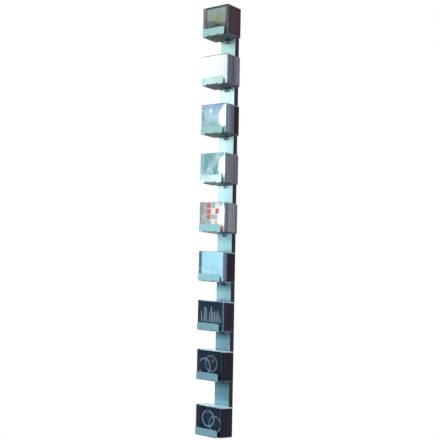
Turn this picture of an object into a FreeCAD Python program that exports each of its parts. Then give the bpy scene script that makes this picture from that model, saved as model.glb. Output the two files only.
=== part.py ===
import FreeCAD, Part
import math
import os

# Wall-mounted CD rack, in millimetres.
# X runs across the rack, +Y points into the wall and +Z points up.
# The origin is the middle of the backboard's rear face, which lies on the wall.

# Backboard and the metal strip on its face
BOARD_DEPTH = 26.0
BOARD_EDGE_ROUND = 1.2
BOARD_END_MARGIN = 3.0
BOARD_TOP_SETBACK = 1.0
STRIP_WIDTH = 80.0
STRIP_THICKNESS = 2.0
STRIP_OVERHANG = 0.5

# Free height above the cases for a hand
HAND_GAP = 83.0
LAST_HAND_GAP = 109.0

# Closed CD case, and how many stand behind the front one in each tray, from the top
CASE_WIDTH = 142.0
CASE_HEIGHT = 125.0
CASE_THICKNESS = 10.1
CASE_EDGE_ROUND = 0.6
STACKED_CASES = (7, 7, 7, 7, 7, 6, 6, 6, 6)

# Pieces of the front case
LID_WALL = 1.2
LID_LEDGE = 2.8
CARD_THICKNESS = 1.5
CARD_EDGE = 2.5
CARD_INSET = 4.0
SPINE_WIDTH = 17.5

# Bent tray sheet
SHEET = 2.0
ARM_SLOPE_DEG = 5.3
BEND_RADIUS = 3.0
NECK_WIDTH = 48.0
RELIEF_WIDTH = 9.0
LIP_WIDTH = 123.0
LIP_HEIGHT = 33.0
LIP_CORNER = 7.0
TAB_WIDTH = 28.0
TAB_EDGE = 1.0
TAB_BEND_RADIUS = 2.0
TONGUE_WIDTH = 12.0
TONGUE_LENGTH = 8.0
TONGUE_INSET = 6.0

# Screws: tray screws with pan heads, strip screws with countersunk heads
TRAY_SCREW_RADIUS = 2.0
TRAY_HEAD_RADIUS = 4.0
TRAY_HEAD_HEIGHT = 2.6
TRAY_HEAD_ROUND = 0.9
STRIP_SCREW_RADIUS = 1.75
SOCKET_RADIUS = 1.4
SOCKET_DEPTH = 1.2
SCREW_TIP_COVER = 12.0
WALL_HOLE_RADIUS = 2.75

# Clearances
CASE_GAP = 0.3
SEAT_GAP = 0.3
REAR_GAP = 0.3
LID_GAP = 0.15
CARD_GAP = 0.2
SPARE_SLOT_GAP = 0.4
SCREW_GAP = 0.15
TONGUE_GAP = 0.2

TRAY_COUNT = len(STACKED_CASES)
ARM_SLOPE = math.radians(ARM_SLOPE_DEG)
TRAY_PITCH = CASE_HEIGHT + HAND_GAP
LAST_PITCH = CASE_HEIGHT + LAST_HAND_GAP
CASE_PITCH = CASE_THICKNESS + CASE_GAP

TAB_LENGTH = SHEET + TAB_BEND_RADIUS + 2 * (TRAY_HEAD_RADIUS + TAB_EDGE)
BOARD_ABOVE_FIRST_SEAT = CASE_HEIGHT - BOARD_TOP_SETBACK
BOARD_BELOW_LAST_SEAT = SHEET / math.cos(ARM_SLOPE) + BOARD_END_MARGIN
SEAT_SPAN = TRAY_PITCH * (TRAY_COUNT - 2) + LAST_PITCH
BOARD_LENGTH = BOARD_ABOVE_FIRST_SEAT + SEAT_SPAN + BOARD_BELOW_LAST_SEAT
BOARD_BOTTOM = -BOARD_LENGTH / 2
FIRST_SEAT = BOARD_LENGTH / 2 - BOARD_ABOVE_FIRST_SEAT

BOARD_WIDTH = STRIP_WIDTH - 2 * STRIP_OVERHANG
BOARD_FACE = -BOARD_DEPTH
STRIP_FACE = BOARD_FACE - STRIP_THICKNESS
SCREW_TIP = -SCREW_TIP_COVER
STACK_BACK = STRIP_FACE - REAR_GAP
FRONT_CASE_BACK = STACK_BACK - max(STACKED_CASES) * CASE_PITCH
FRONT_CASE_FACE = FRONT_CASE_BACK - CASE_THICKNESS
LIP_BACK = FRONT_CASE_FACE - CASE_THICKNESS - SPARE_SLOT_GAP

ARM_WIDTH = STRIP_WIDTH
TONGUE_X = ARM_WIDTH / 2 - TONGUE_INSET - TONGUE_WIDTH / 2
CARD_WIDTH = CASE_WIDTH - SPINE_WIDTH - CARD_INSET
CARD_X = (SPINE_WIDTH - CARD_INSET) / 2

# Trays whose cases hide a strip screw, and those whose cases hide a wall screw
STRIP_SCREW_TRAYS = range(2, TRAY_COUNT, 2)
WALL_HOLE_TRAYS = (1, TRAY_COUNT)


def point(x, y, z):
    return FreeCAD.Vector(x, y, z)


def seat_height(tray):
    """Height of the arm's upper side where it meets the strip."""
    if tray == TRAY_COUNT:
        return FIRST_SEAT - SEAT_SPAN
    return FIRST_SEAT - (tray - 1) * TRAY_PITCH


def arm_rise(y):
    """How far the arm's upper side has risen above its seat height at depth y."""
    return (STRIP_FACE - y) * math.tan(ARM_SLOPE)


def case_bottom(tray, face):
    """Underside of a case whose lower front edge rests on the sloping arm."""
    return seat_height(tray) + arm_rise(face) + SEAT_GAP


def block(width, back, front, bottom, top, x=0.0):
    """Upright block centred on x, from its back to its front and from its bottom to its top."""
    return Part.makeBox(width, back - front, top - bottom, point(x - width / 2, front, bottom))


def rod(radius, back, front, z, x=0.0):
    """Round bar along Y."""
    return Part.makeCylinder(radius, back - front, point(x, front, z), point(0, 1, 0))


def cone(back_radius, front_radius, back, front, z):
    """Tapered round bar along Y."""
    return Part.makeCone(front_radius, back_radius, back - front, point(0, front, z), point(0, 1, 0))


def hexagon_bar(radius, back, front, z):
    """Six-sided bar along Y, for a screw's socket."""
    corners = []
    for step in range(7):
        turn = math.radians(60 * step)
        corners.append(point(radius * math.cos(turn), front, z + radius * math.sin(turn)))
    return Part.Face(Part.makePolygon(corners)).extrude(point(0, back - front, 0))


def edges_along(shape, direction):
    """Straight edges of a shape that run along a direction."""
    found = []
    for edge in shape.Edges:
        if edge.Curve.TypeId == "Part::GeomLine" and abs(edge.Curve.Direction.dot(direction)) > 0.999:
            found.append(edge)
    return found


def prism(outline, width):
    """Straight-sided outline of (y, z) corners, widened evenly along X."""
    corners = [point(-width / 2, y, z) for y, z in outline]
    return Part.Face(Part.makePolygon(corners + corners[:1])).extrude(point(width, 0, 0))


def backboard():
    board = block(BOARD_WIDTH, 0.0, BOARD_FACE, BOARD_BOTTOM, BOARD_BOTTOM + BOARD_LENGTH)
    board = board.makeFillet(BOARD_EDGE_ROUND, edges_along(board, point(0, 0, 1)))
    cuts = []
    for tray in range(1, TRAY_COUNT + 1):
        cuts.extend(tongue_slots(tray))
        cuts.append(tray_screw_hole(tray))
    for tray in STRIP_SCREW_TRAYS:
        cuts.append(pilot_hole(STRIP_SCREW_RADIUS, BOARD_FACE, screw_height(tray)))
    for tray in WALL_HOLE_TRAYS:
        cuts.append(rod(WALL_HOLE_RADIUS, 0.0, BOARD_FACE, screw_height(tray)))
    return board.cut(cuts)


def face_strip():
    strip = block(STRIP_WIDTH, BOARD_FACE, STRIP_FACE, BOARD_BOTTOM, BOARD_BOTTOM + BOARD_LENGTH)
    cuts = []
    for tray in range(1, TRAY_COUNT + 1):
        cuts.extend(tongue_slots(tray))
        cuts.append(tray_screw_hole(tray))
    for tray in STRIP_SCREW_TRAYS:
        cuts.append(countersink(STRIP_SCREW_RADIUS + SCREW_GAP, screw_height(tray)))
    for tray in WALL_HOLE_TRAYS:
        cuts.append(countersink(WALL_HOLE_RADIUS, screw_height(tray)))
    return strip.cut(cuts)


def screw_height(tray):
    """Height of a screw hidden behind the middle of a tray's cases."""
    return seat_height(tray) + CASE_HEIGHT / 2


def tab_turn(tray):
    """-1 for a rear tab that turns down, and 1 at the last tray, below which the board ends."""
    return 1 if tray == TRAY_COUNT else -1


def tray_screw_height(tray):
    """Middle of the flat part of a rear tab."""
    return seat_height(tray) + tab_turn(tray) * (SHEET + TAB_BEND_RADIUS + TAB_LENGTH) / 2


def countersink(radius, z):
    """Cone that opens by the strip's thickness from the strip's back to its face."""
    return cone(radius, radius + STRIP_THICKNESS, BOARD_FACE, STRIP_FACE, z)


def pilot_hole(radius, front, z):
    """Hole for a screw's shank, from a face to just past the screw's tip."""
    return rod(radius + SCREW_GAP, SCREW_TIP + SCREW_GAP, front, z)


def tray_screw_hole(tray):
    """Hole through a tray's rear tab and the strip, into the board."""
    return pilot_hole(TRAY_SCREW_RADIUS, STRIP_FACE - SHEET, tray_screw_height(tray))


def tongue_slots(tray):
    """Room for a tray's two tongues, through the strip and into the board."""
    seat = seat_height(tray)
    slots = []
    for side in (-1, 1):
        slots.append(
            block(
                TONGUE_WIDTH + 2 * TONGUE_GAP,
                STRIP_FACE + TONGUE_LENGTH + TONGUE_GAP,
                STRIP_FACE,
                seat - SHEET - TONGUE_GAP,
                seat + TONGUE_GAP,
                side * TONGUE_X,
            )
        )
    return slots


def tray_sheet(tray):
    """One bent sheet: tongues, rear tab, sloping arm, narrow bend and wide upright lip."""
    seat = seat_height(tray)
    bend_y = LIP_BACK + BEND_RADIUS
    arm_end = bend_y - BEND_RADIUS * math.sin(ARM_SLOPE)
    arm_end_z = seat + arm_rise(arm_end)
    bend_z = arm_end_z + BEND_RADIUS * math.cos(ARM_SLOPE)
    drop_y = SHEET * math.sin(ARM_SLOPE)
    drop_z = SHEET * math.cos(ARM_SLOPE)
    rear_drop = SHEET / math.cos(ARM_SLOPE)

    arm = prism(
        [
            (STRIP_FACE, seat),
            (arm_end, arm_end_z),
            (arm_end - drop_y, arm_end_z - drop_z),
            (STRIP_FACE, seat - rear_drop),
        ],
        ARM_WIDTH,
    )
    neck = neck_bend(bend_y, bend_z)

    lip_bottom = arm_end_z - drop_z
    lip = block(LIP_WIDTH, LIP_BACK, LIP_BACK - SHEET, lip_bottom, lip_bottom + LIP_HEIGHT)
    lip = lip.makeFillet(LIP_CORNER, edges_along(lip, point(0, 1, 0)))
    notch_width = NECK_WIDTH + 2 * RELIEF_WIDTH
    lip = lip.cut(block(notch_width, LIP_BACK, LIP_BACK - SHEET, lip_bottom, bend_z))

    pieces = [neck, lip, rear_tab(tray)]
    for side in (-1, 1):
        pieces.append(
            block(
                TONGUE_WIDTH,
                STRIP_FACE + TONGUE_LENGTH,
                STRIP_FACE,
                seat - SHEET,
                seat,
                side * TONGUE_X,
            )
        )
    sheet = arm.fuse(pieces).removeSplitter()
    return sheet.cut(tray_screw_hole(tray))


def neck_bend(bend_y, bend_z):
    """The narrow curved stretch of sheet that carries the lip on the arm."""
    start = math.radians(180)
    end = math.radians(270) - ARM_SLOPE
    middle = (start + end) / 2

    def at(radius, turn):
        return point(-NECK_WIDTH / 2, bend_y + radius * math.cos(turn), bend_z + radius * math.sin(turn))

    inner = BEND_RADIUS
    outer = BEND_RADIUS + SHEET
    edges = [
        Part.Arc(at(inner, start), at(inner, middle), at(inner, end)).toShape(),
        Part.makeLine(at(inner, end), at(outer, end)),
        Part.Arc(at(outer, end), at(outer, middle), at(outer, start)).toShape(),
        Part.makeLine(at(outer, start), at(inner, start)),
    ]
    return Part.Face(Part.Wire(edges)).extrude(point(NECK_WIDTH, 0, 0))


def rear_tab(tray):
    """Tab on the strip's face, with a round throat where it turns off the arm."""
    seat = seat_height(tray)
    turn = tab_turn(tray)
    arm_side = seat if turn > 0 else seat - SHEET / math.cos(ARM_SLOPE)
    tab_face = STRIP_FACE - SHEET
    corner_z = arm_side + arm_rise(tab_face)
    half_angle = (math.radians(90) - turn * ARM_SLOPE) / 2
    reach = TAB_BEND_RADIUS / math.tan(half_angle)
    to_middle = TAB_BEND_RADIUS / math.sin(half_angle) - TAB_BEND_RADIUS
    lean = half_angle + turn * ARM_SLOPE
    tab_end = seat + turn * TAB_LENGTH

    def at(y, z):
        return point(-TAB_WIDTH / 2, y, z)

    arm_tangent = at(tab_face - reach * math.cos(ARM_SLOPE), corner_z + reach * math.sin(ARM_SLOPE))
    middle = at(tab_face - to_middle * math.cos(lean), corner_z + turn * to_middle * math.sin(lean))
    tab_tangent = at(tab_face, corner_z + turn * reach)
    straight = [
        tab_tangent,
        at(tab_face, tab_end),
        at(STRIP_FACE, tab_end),
        at(STRIP_FACE, arm_side),
        arm_tangent,
    ]
    edges = [Part.makeLine(start, end) for start, end in zip(straight, straight[1:])]
    edges.append(Part.Arc(arm_tangent, middle, tab_tangent).toShape())
    return Part.Face(Part.Wire(edges)).extrude(point(TAB_WIDTH, 0, 0))


def tray_screws():
    """Pan-headed screws through the rear tabs, one per tray."""
    screws = []
    seat_face = STRIP_FACE - SHEET
    for tray in range(1, TRAY_COUNT + 1):
        z = tray_screw_height(tray)
        head = rod(TRAY_HEAD_RADIUS, seat_face, seat_face - TRAY_HEAD_HEIGHT, z)
        rim = [edge for edge in head.Edges if edge.BoundBox.YMax < seat_face - TRAY_HEAD_HEIGHT / 2]
        head = head.makeFillet(TRAY_HEAD_ROUND, rim)
        shank = rod(TRAY_SCREW_RADIUS, SCREW_TIP, seat_face, z)
        socket_floor = seat_face - TRAY_HEAD_HEIGHT + SOCKET_DEPTH
        socket = hexagon_bar(SOCKET_RADIUS, socket_floor, seat_face - TRAY_HEAD_HEIGHT, z)
        screws.append(head.fuse(shank).cut(socket))
    return Part.makeCompound(screws)


def strip_screws():
    """Countersunk screws that hold the strip, flush with its face."""
    screws = []
    for tray in STRIP_SCREW_TRAYS:
        z = screw_height(tray)
        head = cone(STRIP_SCREW_RADIUS, STRIP_SCREW_RADIUS + STRIP_THICKNESS, BOARD_FACE, STRIP_FACE, z)
        shank = rod(STRIP_SCREW_RADIUS, SCREW_TIP, BOARD_FACE, z)
        socket = hexagon_bar(SOCKET_RADIUS, STRIP_FACE + SOCKET_DEPTH, STRIP_FACE, z)
        screws.append(head.fuse(shank).cut(socket))
    return Part.makeCompound(screws)


def case_stack(tray):
    """Closed cases behind the front one, each stepped up to its own place on the arm."""
    cases = []
    for place in range(STACKED_CASES[tray - 1]):
        back = FRONT_CASE_BACK + (place + 1) * CASE_PITCH
        front = back - CASE_THICKNESS
        bottom = case_bottom(tray, front)
        case = block(CASE_WIDTH, back, front, bottom, bottom + CASE_HEIGHT)
        cases.append(case.makeFillet(CASE_EDGE_ROUND, edges_along(case, point(0, 1, 0))))
    return Part.makeCompound(cases)


def front_lid(tray):
    """Clear front panel with a flange along its top and its bottom."""
    bottom = case_bottom(tray, FRONT_CASE_FACE)
    top = bottom + CASE_HEIGHT
    panel_back = FRONT_CASE_FACE + LID_WALL
    flange_back = FRONT_CASE_BACK - LID_LEDGE
    shell = block(CASE_WIDTH, flange_back, FRONT_CASE_FACE, bottom, top)
    shell = shell.makeFillet(CASE_EDGE_ROUND, edges_along(shell, point(0, 1, 0)))
    return shell.cut(block(CASE_WIDTH, flange_back, panel_back, bottom + LID_WALL, top - LID_WALL))


def cover_card(tray):
    """Printed card behind the lid, set towards the opening side, away from the spine."""
    bottom = case_bottom(tray, FRONT_CASE_FACE) + CARD_EDGE
    top = bottom + CASE_HEIGHT - 2 * CARD_EDGE
    front = FRONT_CASE_FACE + LID_WALL
    return block(CARD_WIDTH, front + CARD_THICKNESS, front, bottom, top, CARD_X)


def front_base(tray):
    """Rear half of the front case: a rim flush with the lid's flanges, and a recess for the card."""
    bottom = case_bottom(tray, FRONT_CASE_FACE)
    top = bottom + CASE_HEIGHT
    front = FRONT_CASE_FACE + LID_WALL
    step = LID_WALL + LID_GAP
    rim_front = FRONT_CASE_BACK - LID_LEDGE + LID_GAP
    rim = block(CASE_WIDTH, FRONT_CASE_BACK, rim_front, bottom, top)
    rim = rim.makeFillet(CASE_EDGE_ROUND, edges_along(rim, point(0, 1, 0)))
    base = block(CASE_WIDTH, rim_front, front, bottom + step, top - step)
    margin = CARD_EDGE - CARD_GAP
    floor = front + CARD_THICKNESS + CARD_GAP
    base = base.cut(block(CARD_WIDTH + 2 * CARD_GAP, floor, front, bottom + margin, top - margin, CARD_X))
    return base.fuse(rim).removeSplitter()


def save(node, shape):
    shape.exportStep("parts/" + node + ".step")


os.makedirs("parts", exist_ok=True)
save("backboard", backboard())
save("face_strip", face_strip())
save("strip_screws", strip_screws())
save("tray_screws", tray_screws())
for tray_number in range(1, TRAY_COUNT + 1):
    save(f"tray_{tray_number}", tray_sheet(tray_number))
    save(f"case_stack_{tray_number}", case_stack(tray_number))
    save(f"front_lid_{tray_number}", front_lid(tray_number))
    save(f"cover_card_{tray_number}", cover_card(tray_number))
    save(f"front_base_{tray_number}", front_base(tray_number))
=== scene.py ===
"""Wall-mounted CD rack, dressed for rendering.

A tall stained board carries a metal strip with nine bent metal trays. Each tray holds a row of CD
cases, and the case at the front of each row shows its printed booklet through a clear lid.
Lengths are in metres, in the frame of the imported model: X runs across the rack, +Y points into the
wall and +Z points up.
"""

import math

import bmesh
import bpy
from mathutils import Matrix, Vector


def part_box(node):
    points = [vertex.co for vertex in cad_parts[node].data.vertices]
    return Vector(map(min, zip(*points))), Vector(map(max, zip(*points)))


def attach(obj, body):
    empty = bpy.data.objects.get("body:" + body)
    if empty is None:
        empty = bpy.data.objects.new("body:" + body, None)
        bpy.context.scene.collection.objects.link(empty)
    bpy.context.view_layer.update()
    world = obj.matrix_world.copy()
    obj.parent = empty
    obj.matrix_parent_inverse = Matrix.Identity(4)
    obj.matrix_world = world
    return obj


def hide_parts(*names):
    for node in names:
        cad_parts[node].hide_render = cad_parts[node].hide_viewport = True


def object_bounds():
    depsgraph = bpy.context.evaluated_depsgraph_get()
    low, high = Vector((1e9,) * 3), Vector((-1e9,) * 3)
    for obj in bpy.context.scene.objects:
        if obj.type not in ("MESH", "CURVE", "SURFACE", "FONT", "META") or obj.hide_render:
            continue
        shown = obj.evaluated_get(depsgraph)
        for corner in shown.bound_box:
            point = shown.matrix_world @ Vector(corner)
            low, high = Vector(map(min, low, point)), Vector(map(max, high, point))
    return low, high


bl_info = {
    "name": "CD Rack",
    "version": (1, 0, 0),
    "blender": (4, 5, 0),
    "location": "View3D > Sidebar > CD Rack",
    "description": "Dresses a wall-mounted CD rack with its trays, cases and printed covers",
    "category": "Object",
}

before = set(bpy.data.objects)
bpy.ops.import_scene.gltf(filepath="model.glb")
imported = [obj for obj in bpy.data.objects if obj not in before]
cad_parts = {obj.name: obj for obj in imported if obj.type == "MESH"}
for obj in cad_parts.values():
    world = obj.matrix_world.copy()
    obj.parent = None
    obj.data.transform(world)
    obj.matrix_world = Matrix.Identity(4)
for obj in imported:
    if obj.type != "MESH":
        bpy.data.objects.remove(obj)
CAD_LOW, CAD_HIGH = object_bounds()

MM = 0.001
TRAYS = [number for number in range(1, 100) if f"tray_{number}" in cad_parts]
WHITE = (1.0, 1.0, 1.0, 1.0)
BLACK = (0.0, 0.0, 0.0, 1.0)

# Lengths that differ by less than this count as equal
CLOSE = 1e-6

# Heights between which the finishes of the rack's upper half change to those of its lower half
LOWER_HALF = (0.15, -0.3)

# Heights between which a dull coat comes over the strip, and how much of the metal it hides
COAT_HEIGHTS = (-0.05, -0.85)
COAT_SHARE = 0.9

# Height of a tray's arm above the end of its tab, and how far the tab stands out from the strip
TAB_LENGTH = 12 * MM
TAB_DEPTH = 2.5 * MM

# Lengths down the strip from a tray's arm: the reach of the painted shadow under the tray, where the
# painted reflection above the row starts and where it is brightest
PAINTED_SHADOW_REACH = 50 * MM
PAINTED_REFLECTION_FROM = 48 * MM
PAINTED_REFLECTION_MOST = 74 * MM

# Brush strokes on the metal: small numbers along the brushing and large ones across it
UPRIGHT_STROKES = (900.0, 900.0, 5.0)
LEVEL_STROKES = (5.0, 900.0, 900.0)

# Distances in front of the board's rear face between which the painted shade on its front turns plain
DARKER_FRONT = (24 * MM, 4 * MM)

# Distance between the ridges on the edges of a case
RIDGE_PITCH = 1.5 * MM

# The ribbed plate beside a booklet: how far its ribs and the plate itself stand back from the lid's
# panel, the gaps left and right of the plate, and a rib's depth, edge and distance from top and foot
RIB_SETBACK = 0.2 * MM
PLATE_SETBACK = 0.8 * MM
PLATE_LEFT = 0.05 * MM
PLATE_RIGHT = 0.4 * MM
RIB_DEPTH = 0.58 * MM
RIB_EDGE = 0.2 * MM
RIB_END = 5 * MM

# A stacked case: how far its side walls stand back from the lid's panel, then its booklet's distance
# from the left, from the right and from the top and bottom, its depth and its edge
SIDE_SETBACK = 0.1 * MM
BOOKLET_LEFT = 17.5 * MM
BOOKLET_RIGHT = 4.0 * MM
BOOKLET_ENDS = 2.5 * MM
BOOKLET_DEPTH = 1.5 * MM
BOOKLET_EDGE = 0.2 * MM

# A booklet's pages: their number, their distance from the fold and from the cover's top and bottom,
# and how much shorter than the cover the first page is, and each further one
PAGES = 4
PAGE_FOLD = 0.8 * MM
PAGE_ENDS = 0.2 * MM
PAGE_SHORTER = 0.25 * MM
PAGE_STEP = 0.12 * MM

# Cut edges of paper, and the gap between a base's floor and what stands on it
LABEL_EDGE = 0.04 * MM
PAGE_EDGE = 0.05 * MM
FLOOR_GAP = 0.02 * MM

# Where the lamps look, and the camera's sensor in millimetres
RACK_MIDDLE = (0.0, -0.1, 0.0)
SENSOR_WIDTH = 36.0


def shade(text, alpha=1.0):
    """Linear colour from a six-figure screen colour."""
    linear = []
    for place in (0, 2, 4):
        value = int(text[place : place + 2], 16) / 255
        if value <= 0.04045:
            linear.append(value / 12.92)
        else:
            linear.append(((value + 0.055) / 1.055) ** 2.4)
    return (*linear, alpha)


# One row per tray, from the top: ground, shadow, accent and mark of the printed cover, the front
# and the back label of the row of cases, and the plastic behind the booklet
COVER_COLOURS = (
    ("a1aea6", "4a5b66", "afaa7d", "dbe1dc", "6c5668", "5c3a46", "5a5f5c"),
    ("fdfefe", "e8ebee", "d2e6ea", "c3ccd4", "9aa3b9", "9494a0", "d5dde0"),
    ("b0cadf", "a3c5c9", "d1e4e8", "f8fdfd", "9cabbe", "362a36", "6d898d"),
    ("92c4c9", "70abb0", "bde1e5", "eff4f4", "8c92a0", "a2a4ac", "749598"),
    ("e18479", "eabeb6", "bfced3", "ebeeee", "a4acb8", "a8aab0", "786f6a"),
    ("d6f6fd", "c2ecf8", "eefbfd", "9ac5d4", "98acd0", "281f2b", "4a5a70"),
    ("1f4059", "355f79", "86acba", "dfe9e8", "8a9ab0", "38344c", "0e1826"),
    ("0f293f", "1d425d", "8e5a78", "a3b8c6", "1f1b36", "2c2440", "0b1320"),
    ("0f2b43", "1d4462", "7e5276", "a3bccc", "1f1b36", "2a223c", "0b1320"),
)
COLOUR_FIELDS = ("ground", "shadow", "accent", "mark", "label_front", "label_back", "tray_plastic")

# How many cases of each row have the front label's colour, before it changes to the back label's
FRONT_LABELS = (3.0, 3.0, 4.3, 4.0, 4.0, 1.7, 0.5, 4.0, 4.0)

# How light each label is against its neighbours, taken round in turn
LABEL_SHADES = (1.0, 0.62, 1.3, 0.8, 1.12, 0.55, 1.2, 0.72, 0.95)

# Trays whose lids show gleams, and each gleam's place across and up the lid, from 0 to 1, the
# width and height of its lamp, and its strength
GLEAMING_TRAYS = (3, 4, 5)
LID_GLEAMS = {
    "lid": (0.97, 0.5, (0.068, 0.13), 1.0),
    "edge": (0.985, 0.5, (0.014, 0.17), 0.14),
}

# Gleams on the metal: their colour, the width of their lamps, the strip's (height, length,
# strength), the lips' (tray, strength) and how far above the tray's lowest point a lip gleams
METAL_GLEAM = (1.0, 0.56, 0.54)
GLEAM_WIDTH = 0.2
STRIP_GLEAMS = ((0.31, 0.75, 0.27), (0.54, 0.1, 0.11))
LIP_GLEAMS = ((2, 0.14), (4, 0.26))
LIP_RISE = 30 * MM


def number_property(name, description, default, unit="NONE", precision=3):
    return bpy.props.FloatProperty(
        name=name,
        description=description,
        default=default,
        min=0.0,
        precision=precision,
        unit=unit,
    )


def length_property(name, description, length):
    return number_property(name, description, length, "LENGTH", 5)


def vector_property(name, description, default, subtype="NONE", unit="NONE"):
    return bpy.props.FloatVectorProperty(
        name=name,
        description=description,
        default=default,
        size=len(default),
        subtype=subtype,
        unit=unit,
    )


def colour_property(name, description, screen_colour):
    return bpy.props.FloatVectorProperty(
        name=name,
        description=description,
        default=shade(screen_colour),
        size=4,
        min=0.0,
        max=1.0,
        subtype="COLOR",
    )


class CdRackSizes(bpy.types.PropertyGroup):
    """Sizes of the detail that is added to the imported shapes."""

    metal_edge: length_property("Metal edge", "Rounding on the edges of the sheet metal", 0.35 * MM)
    board_edge: length_property("Board edge", "Rounding on the edges of the board", 0.5 * MM)
    case_edge: length_property("Case edge", "Rounding on the edges of the cases", 0.25 * MM)
    case_wall: length_property("Case wall", "Thickness of the plastic of a case", 1.2 * MM)
    case_ledge: length_property("Case ledge", "Depth of the base that shows behind a lid", 2.8 * MM)
    flange_corner: length_property("Flange corner", "Rounding at a lid's free corners", 2.5 * MM)
    lid_play: length_property("Lid play", "Gap between a lid and its base", 0.15 * MM)
    label_depth: length_property("Label depth", "Thickness of a printed label", 0.15 * MM)
    label_inset: length_property("Label inset", "Plastic left bare above and below a label", 3.5 * MM)
    label_margin: length_property("Label margin", "Plastic left bare beside a label", 1.0 * MM)
    booklet_room: length_property("Booklet room", "Room between a lid and its base's floor", 1.7 * MM)
    booklet_play: length_property("Booklet play", "Gap between a booklet and the plastic", 0.1 * MM)
    rib_pitch: length_property("Rib pitch", "Distance between the ribs beside a booklet", 2.3 * MM)
    paper: length_property("Paper", "Thickness of a booklet's cover sheet", 0.22 * MM)


class CdRackFinish(bpy.types.PropertyGroup):
    """Colours of the rack itself and of the plastic and paper in it."""

    # Painted shade: the strip's tint darkens from the rack's top to its foot and towards the strip's
    # right side
    strip_top: colour_property("Strip at the top", "Tint of the strip at the rack's top", "c9edeb")
    strip_middle: colour_property("Strip midway", "Tint of the strip halfway down", "b9e9f3")
    strip_foot: colour_property("Strip at the foot", "Tint of the strip at its foot", "7fb6d0")
    strip_right_painted_shade: colour_property("Strip at the right", "Shade of the strip to its right", "e3f3f3")
    # Painted reflection of the case tops on the lower strip, above each row
    strip_painted_reflection: colour_property("Strip rubbed", "Tint of the lower strip above a row", "b4eeff")
    # Painted shade: the trays' tint darkens from the highest trays to the lowest
    tray_top: colour_property("Tray at the top", "Tint of the highest trays", "a4cfce")
    tray_middle: colour_property("Tray midway", "Tint of the middle trays", "9fd4de")
    tray_foot: colour_property("Tray at the foot", "Tint of the lowest trays", "7aa2b0")
    # Painted shade on the faces of the trays that look down
    underside: colour_property("Underside", "Tint of the unpolished underside of the trays", "4c5c58")
    # Painted shadow on the tabs of the lower trays and on the screws
    tab: colour_property("Tab", "Dull finish of the tabs and screws of the lower trays", "22384a")
    # Painted reflection: the cases' upper edges are dark on the highest trays and pale blue on the
    # lowest, as light from above falls on them
    edge_top: colour_property("Case edge at the top", "Upper edges of the highest cases", "4e4040")
    edge_middle: colour_property("Case edge midway", "Upper edges of the middle cases", "9cacb2")
    edge_foot: colour_property("Case edge at the foot", "Upper edges of the lowest cases", "cef6ff")
    # Painted shade: the lower edges of the cases are dark because they face down
    worn_edge_in_painted_shade: colour_property("Worn edge", "Lower edges of the cases, dulled by the trays", "78768c")
    wood_light: colour_property("Wood light", "Lighter tone of the stained board", "4c2630")
    wood_dark: colour_property("Wood dark", "Darker tone of the stained board", "1d151d")
    wood_worn: colour_property("Wood worn", "Wood where the board's edges are rubbed", "7a4a3a")
    screw: colour_property("Screw", "Tint of the screws", "5d696b")
    clear_plastic: colour_property("Clear plastic", "Tint of the clear lids", "fbfdfe")
    case_plastic: colour_property("Case plastic", "Moulded plastic of the stacked cases", "16141b")
    page: colour_property("Page", "Paper at a booklet's edges", "ece9e2")


class CdRackCover(bpy.types.PropertyGroup):
    """Colours of one tray's printed cover, its labels and its case."""

    ground: colour_property("Ground", "Main colour of the printed cover", "808080")
    shadow: colour_property("Shadow", "Second colour of the printed cover", "606060")
    accent: colour_property("Accent", "Colour of the printed cover's main motif", "a0a0a0")
    mark: colour_property("Mark", "Colour of the printed cover's small motifs", "e0e0e0")
    label_front: colour_property("Front label", "Label colour at the front of the row", "707070")
    label_back: colour_property("Back label", "Label colour at the back of the row", "404040")
    tray_plastic: colour_property("Tray plastic", "Plastic that shows beside the booklet", "303030")
    front_labels: number_property("Front labels", "Cases with the front label's colour", 4.0)


class CdRackStage(bpy.types.PropertyGroup):
    """Floor, lamps and camera."""

    floor_drop: length_property("Floor drop", "Height of the rack's foot above the floor", 0.5)
    floor_radius: length_property("Floor radius", "Radius of the round floor", 1.9)
    fill: number_property("Fill", "Strength of the even light from all round", 0.42)
    key_power: number_property("Key power", "Power of the large lamp high in front", 480.0, "POWER")
    key_place: vector_property("Key place", "Where the large lamp is", (0.6, -6.1, 5.3), "TRANSLATION")
    key_size: vector_property("Key size", "Sides of the large lamp", (2.8, 2.8), unit="LENGTH")
    side_power: number_property("Side power", "Power of the soft lamp beside the rack", 2.7, "POWER")
    side_place: vector_property("Side place", "Where the soft lamp is", (2.6, -1.2, 0.9), "TRANSLATION")
    side_size: vector_property("Side size", "Sides of the soft lamp", (1.2, 1.8), unit="LENGTH")
    gleam_power: number_property("Gleam power", "Power of the strongest gleam's lamp", 1.75, "POWER")
    gleam_reach: length_property("Gleam reach", "Distance of a gleam's lamp from what it lights", 1.2)
    lens: number_property("Lens", "Focal length of the camera in millimetres", 75.09, "CAMERA")
    camera_place: vector_property(
        "Camera place",
        "Where the camera stands",
        (2.6325, -2.9574, -0.0702),
        "TRANSLATION",
    )
    camera_turn: vector_property(
        "Camera turn",
        "Turn to the left, tilt upwards and roll of the camera",
        (math.radians(42.2428), math.radians(1.2078), math.radians(1.0461)),
        "EULER",
    )


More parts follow.
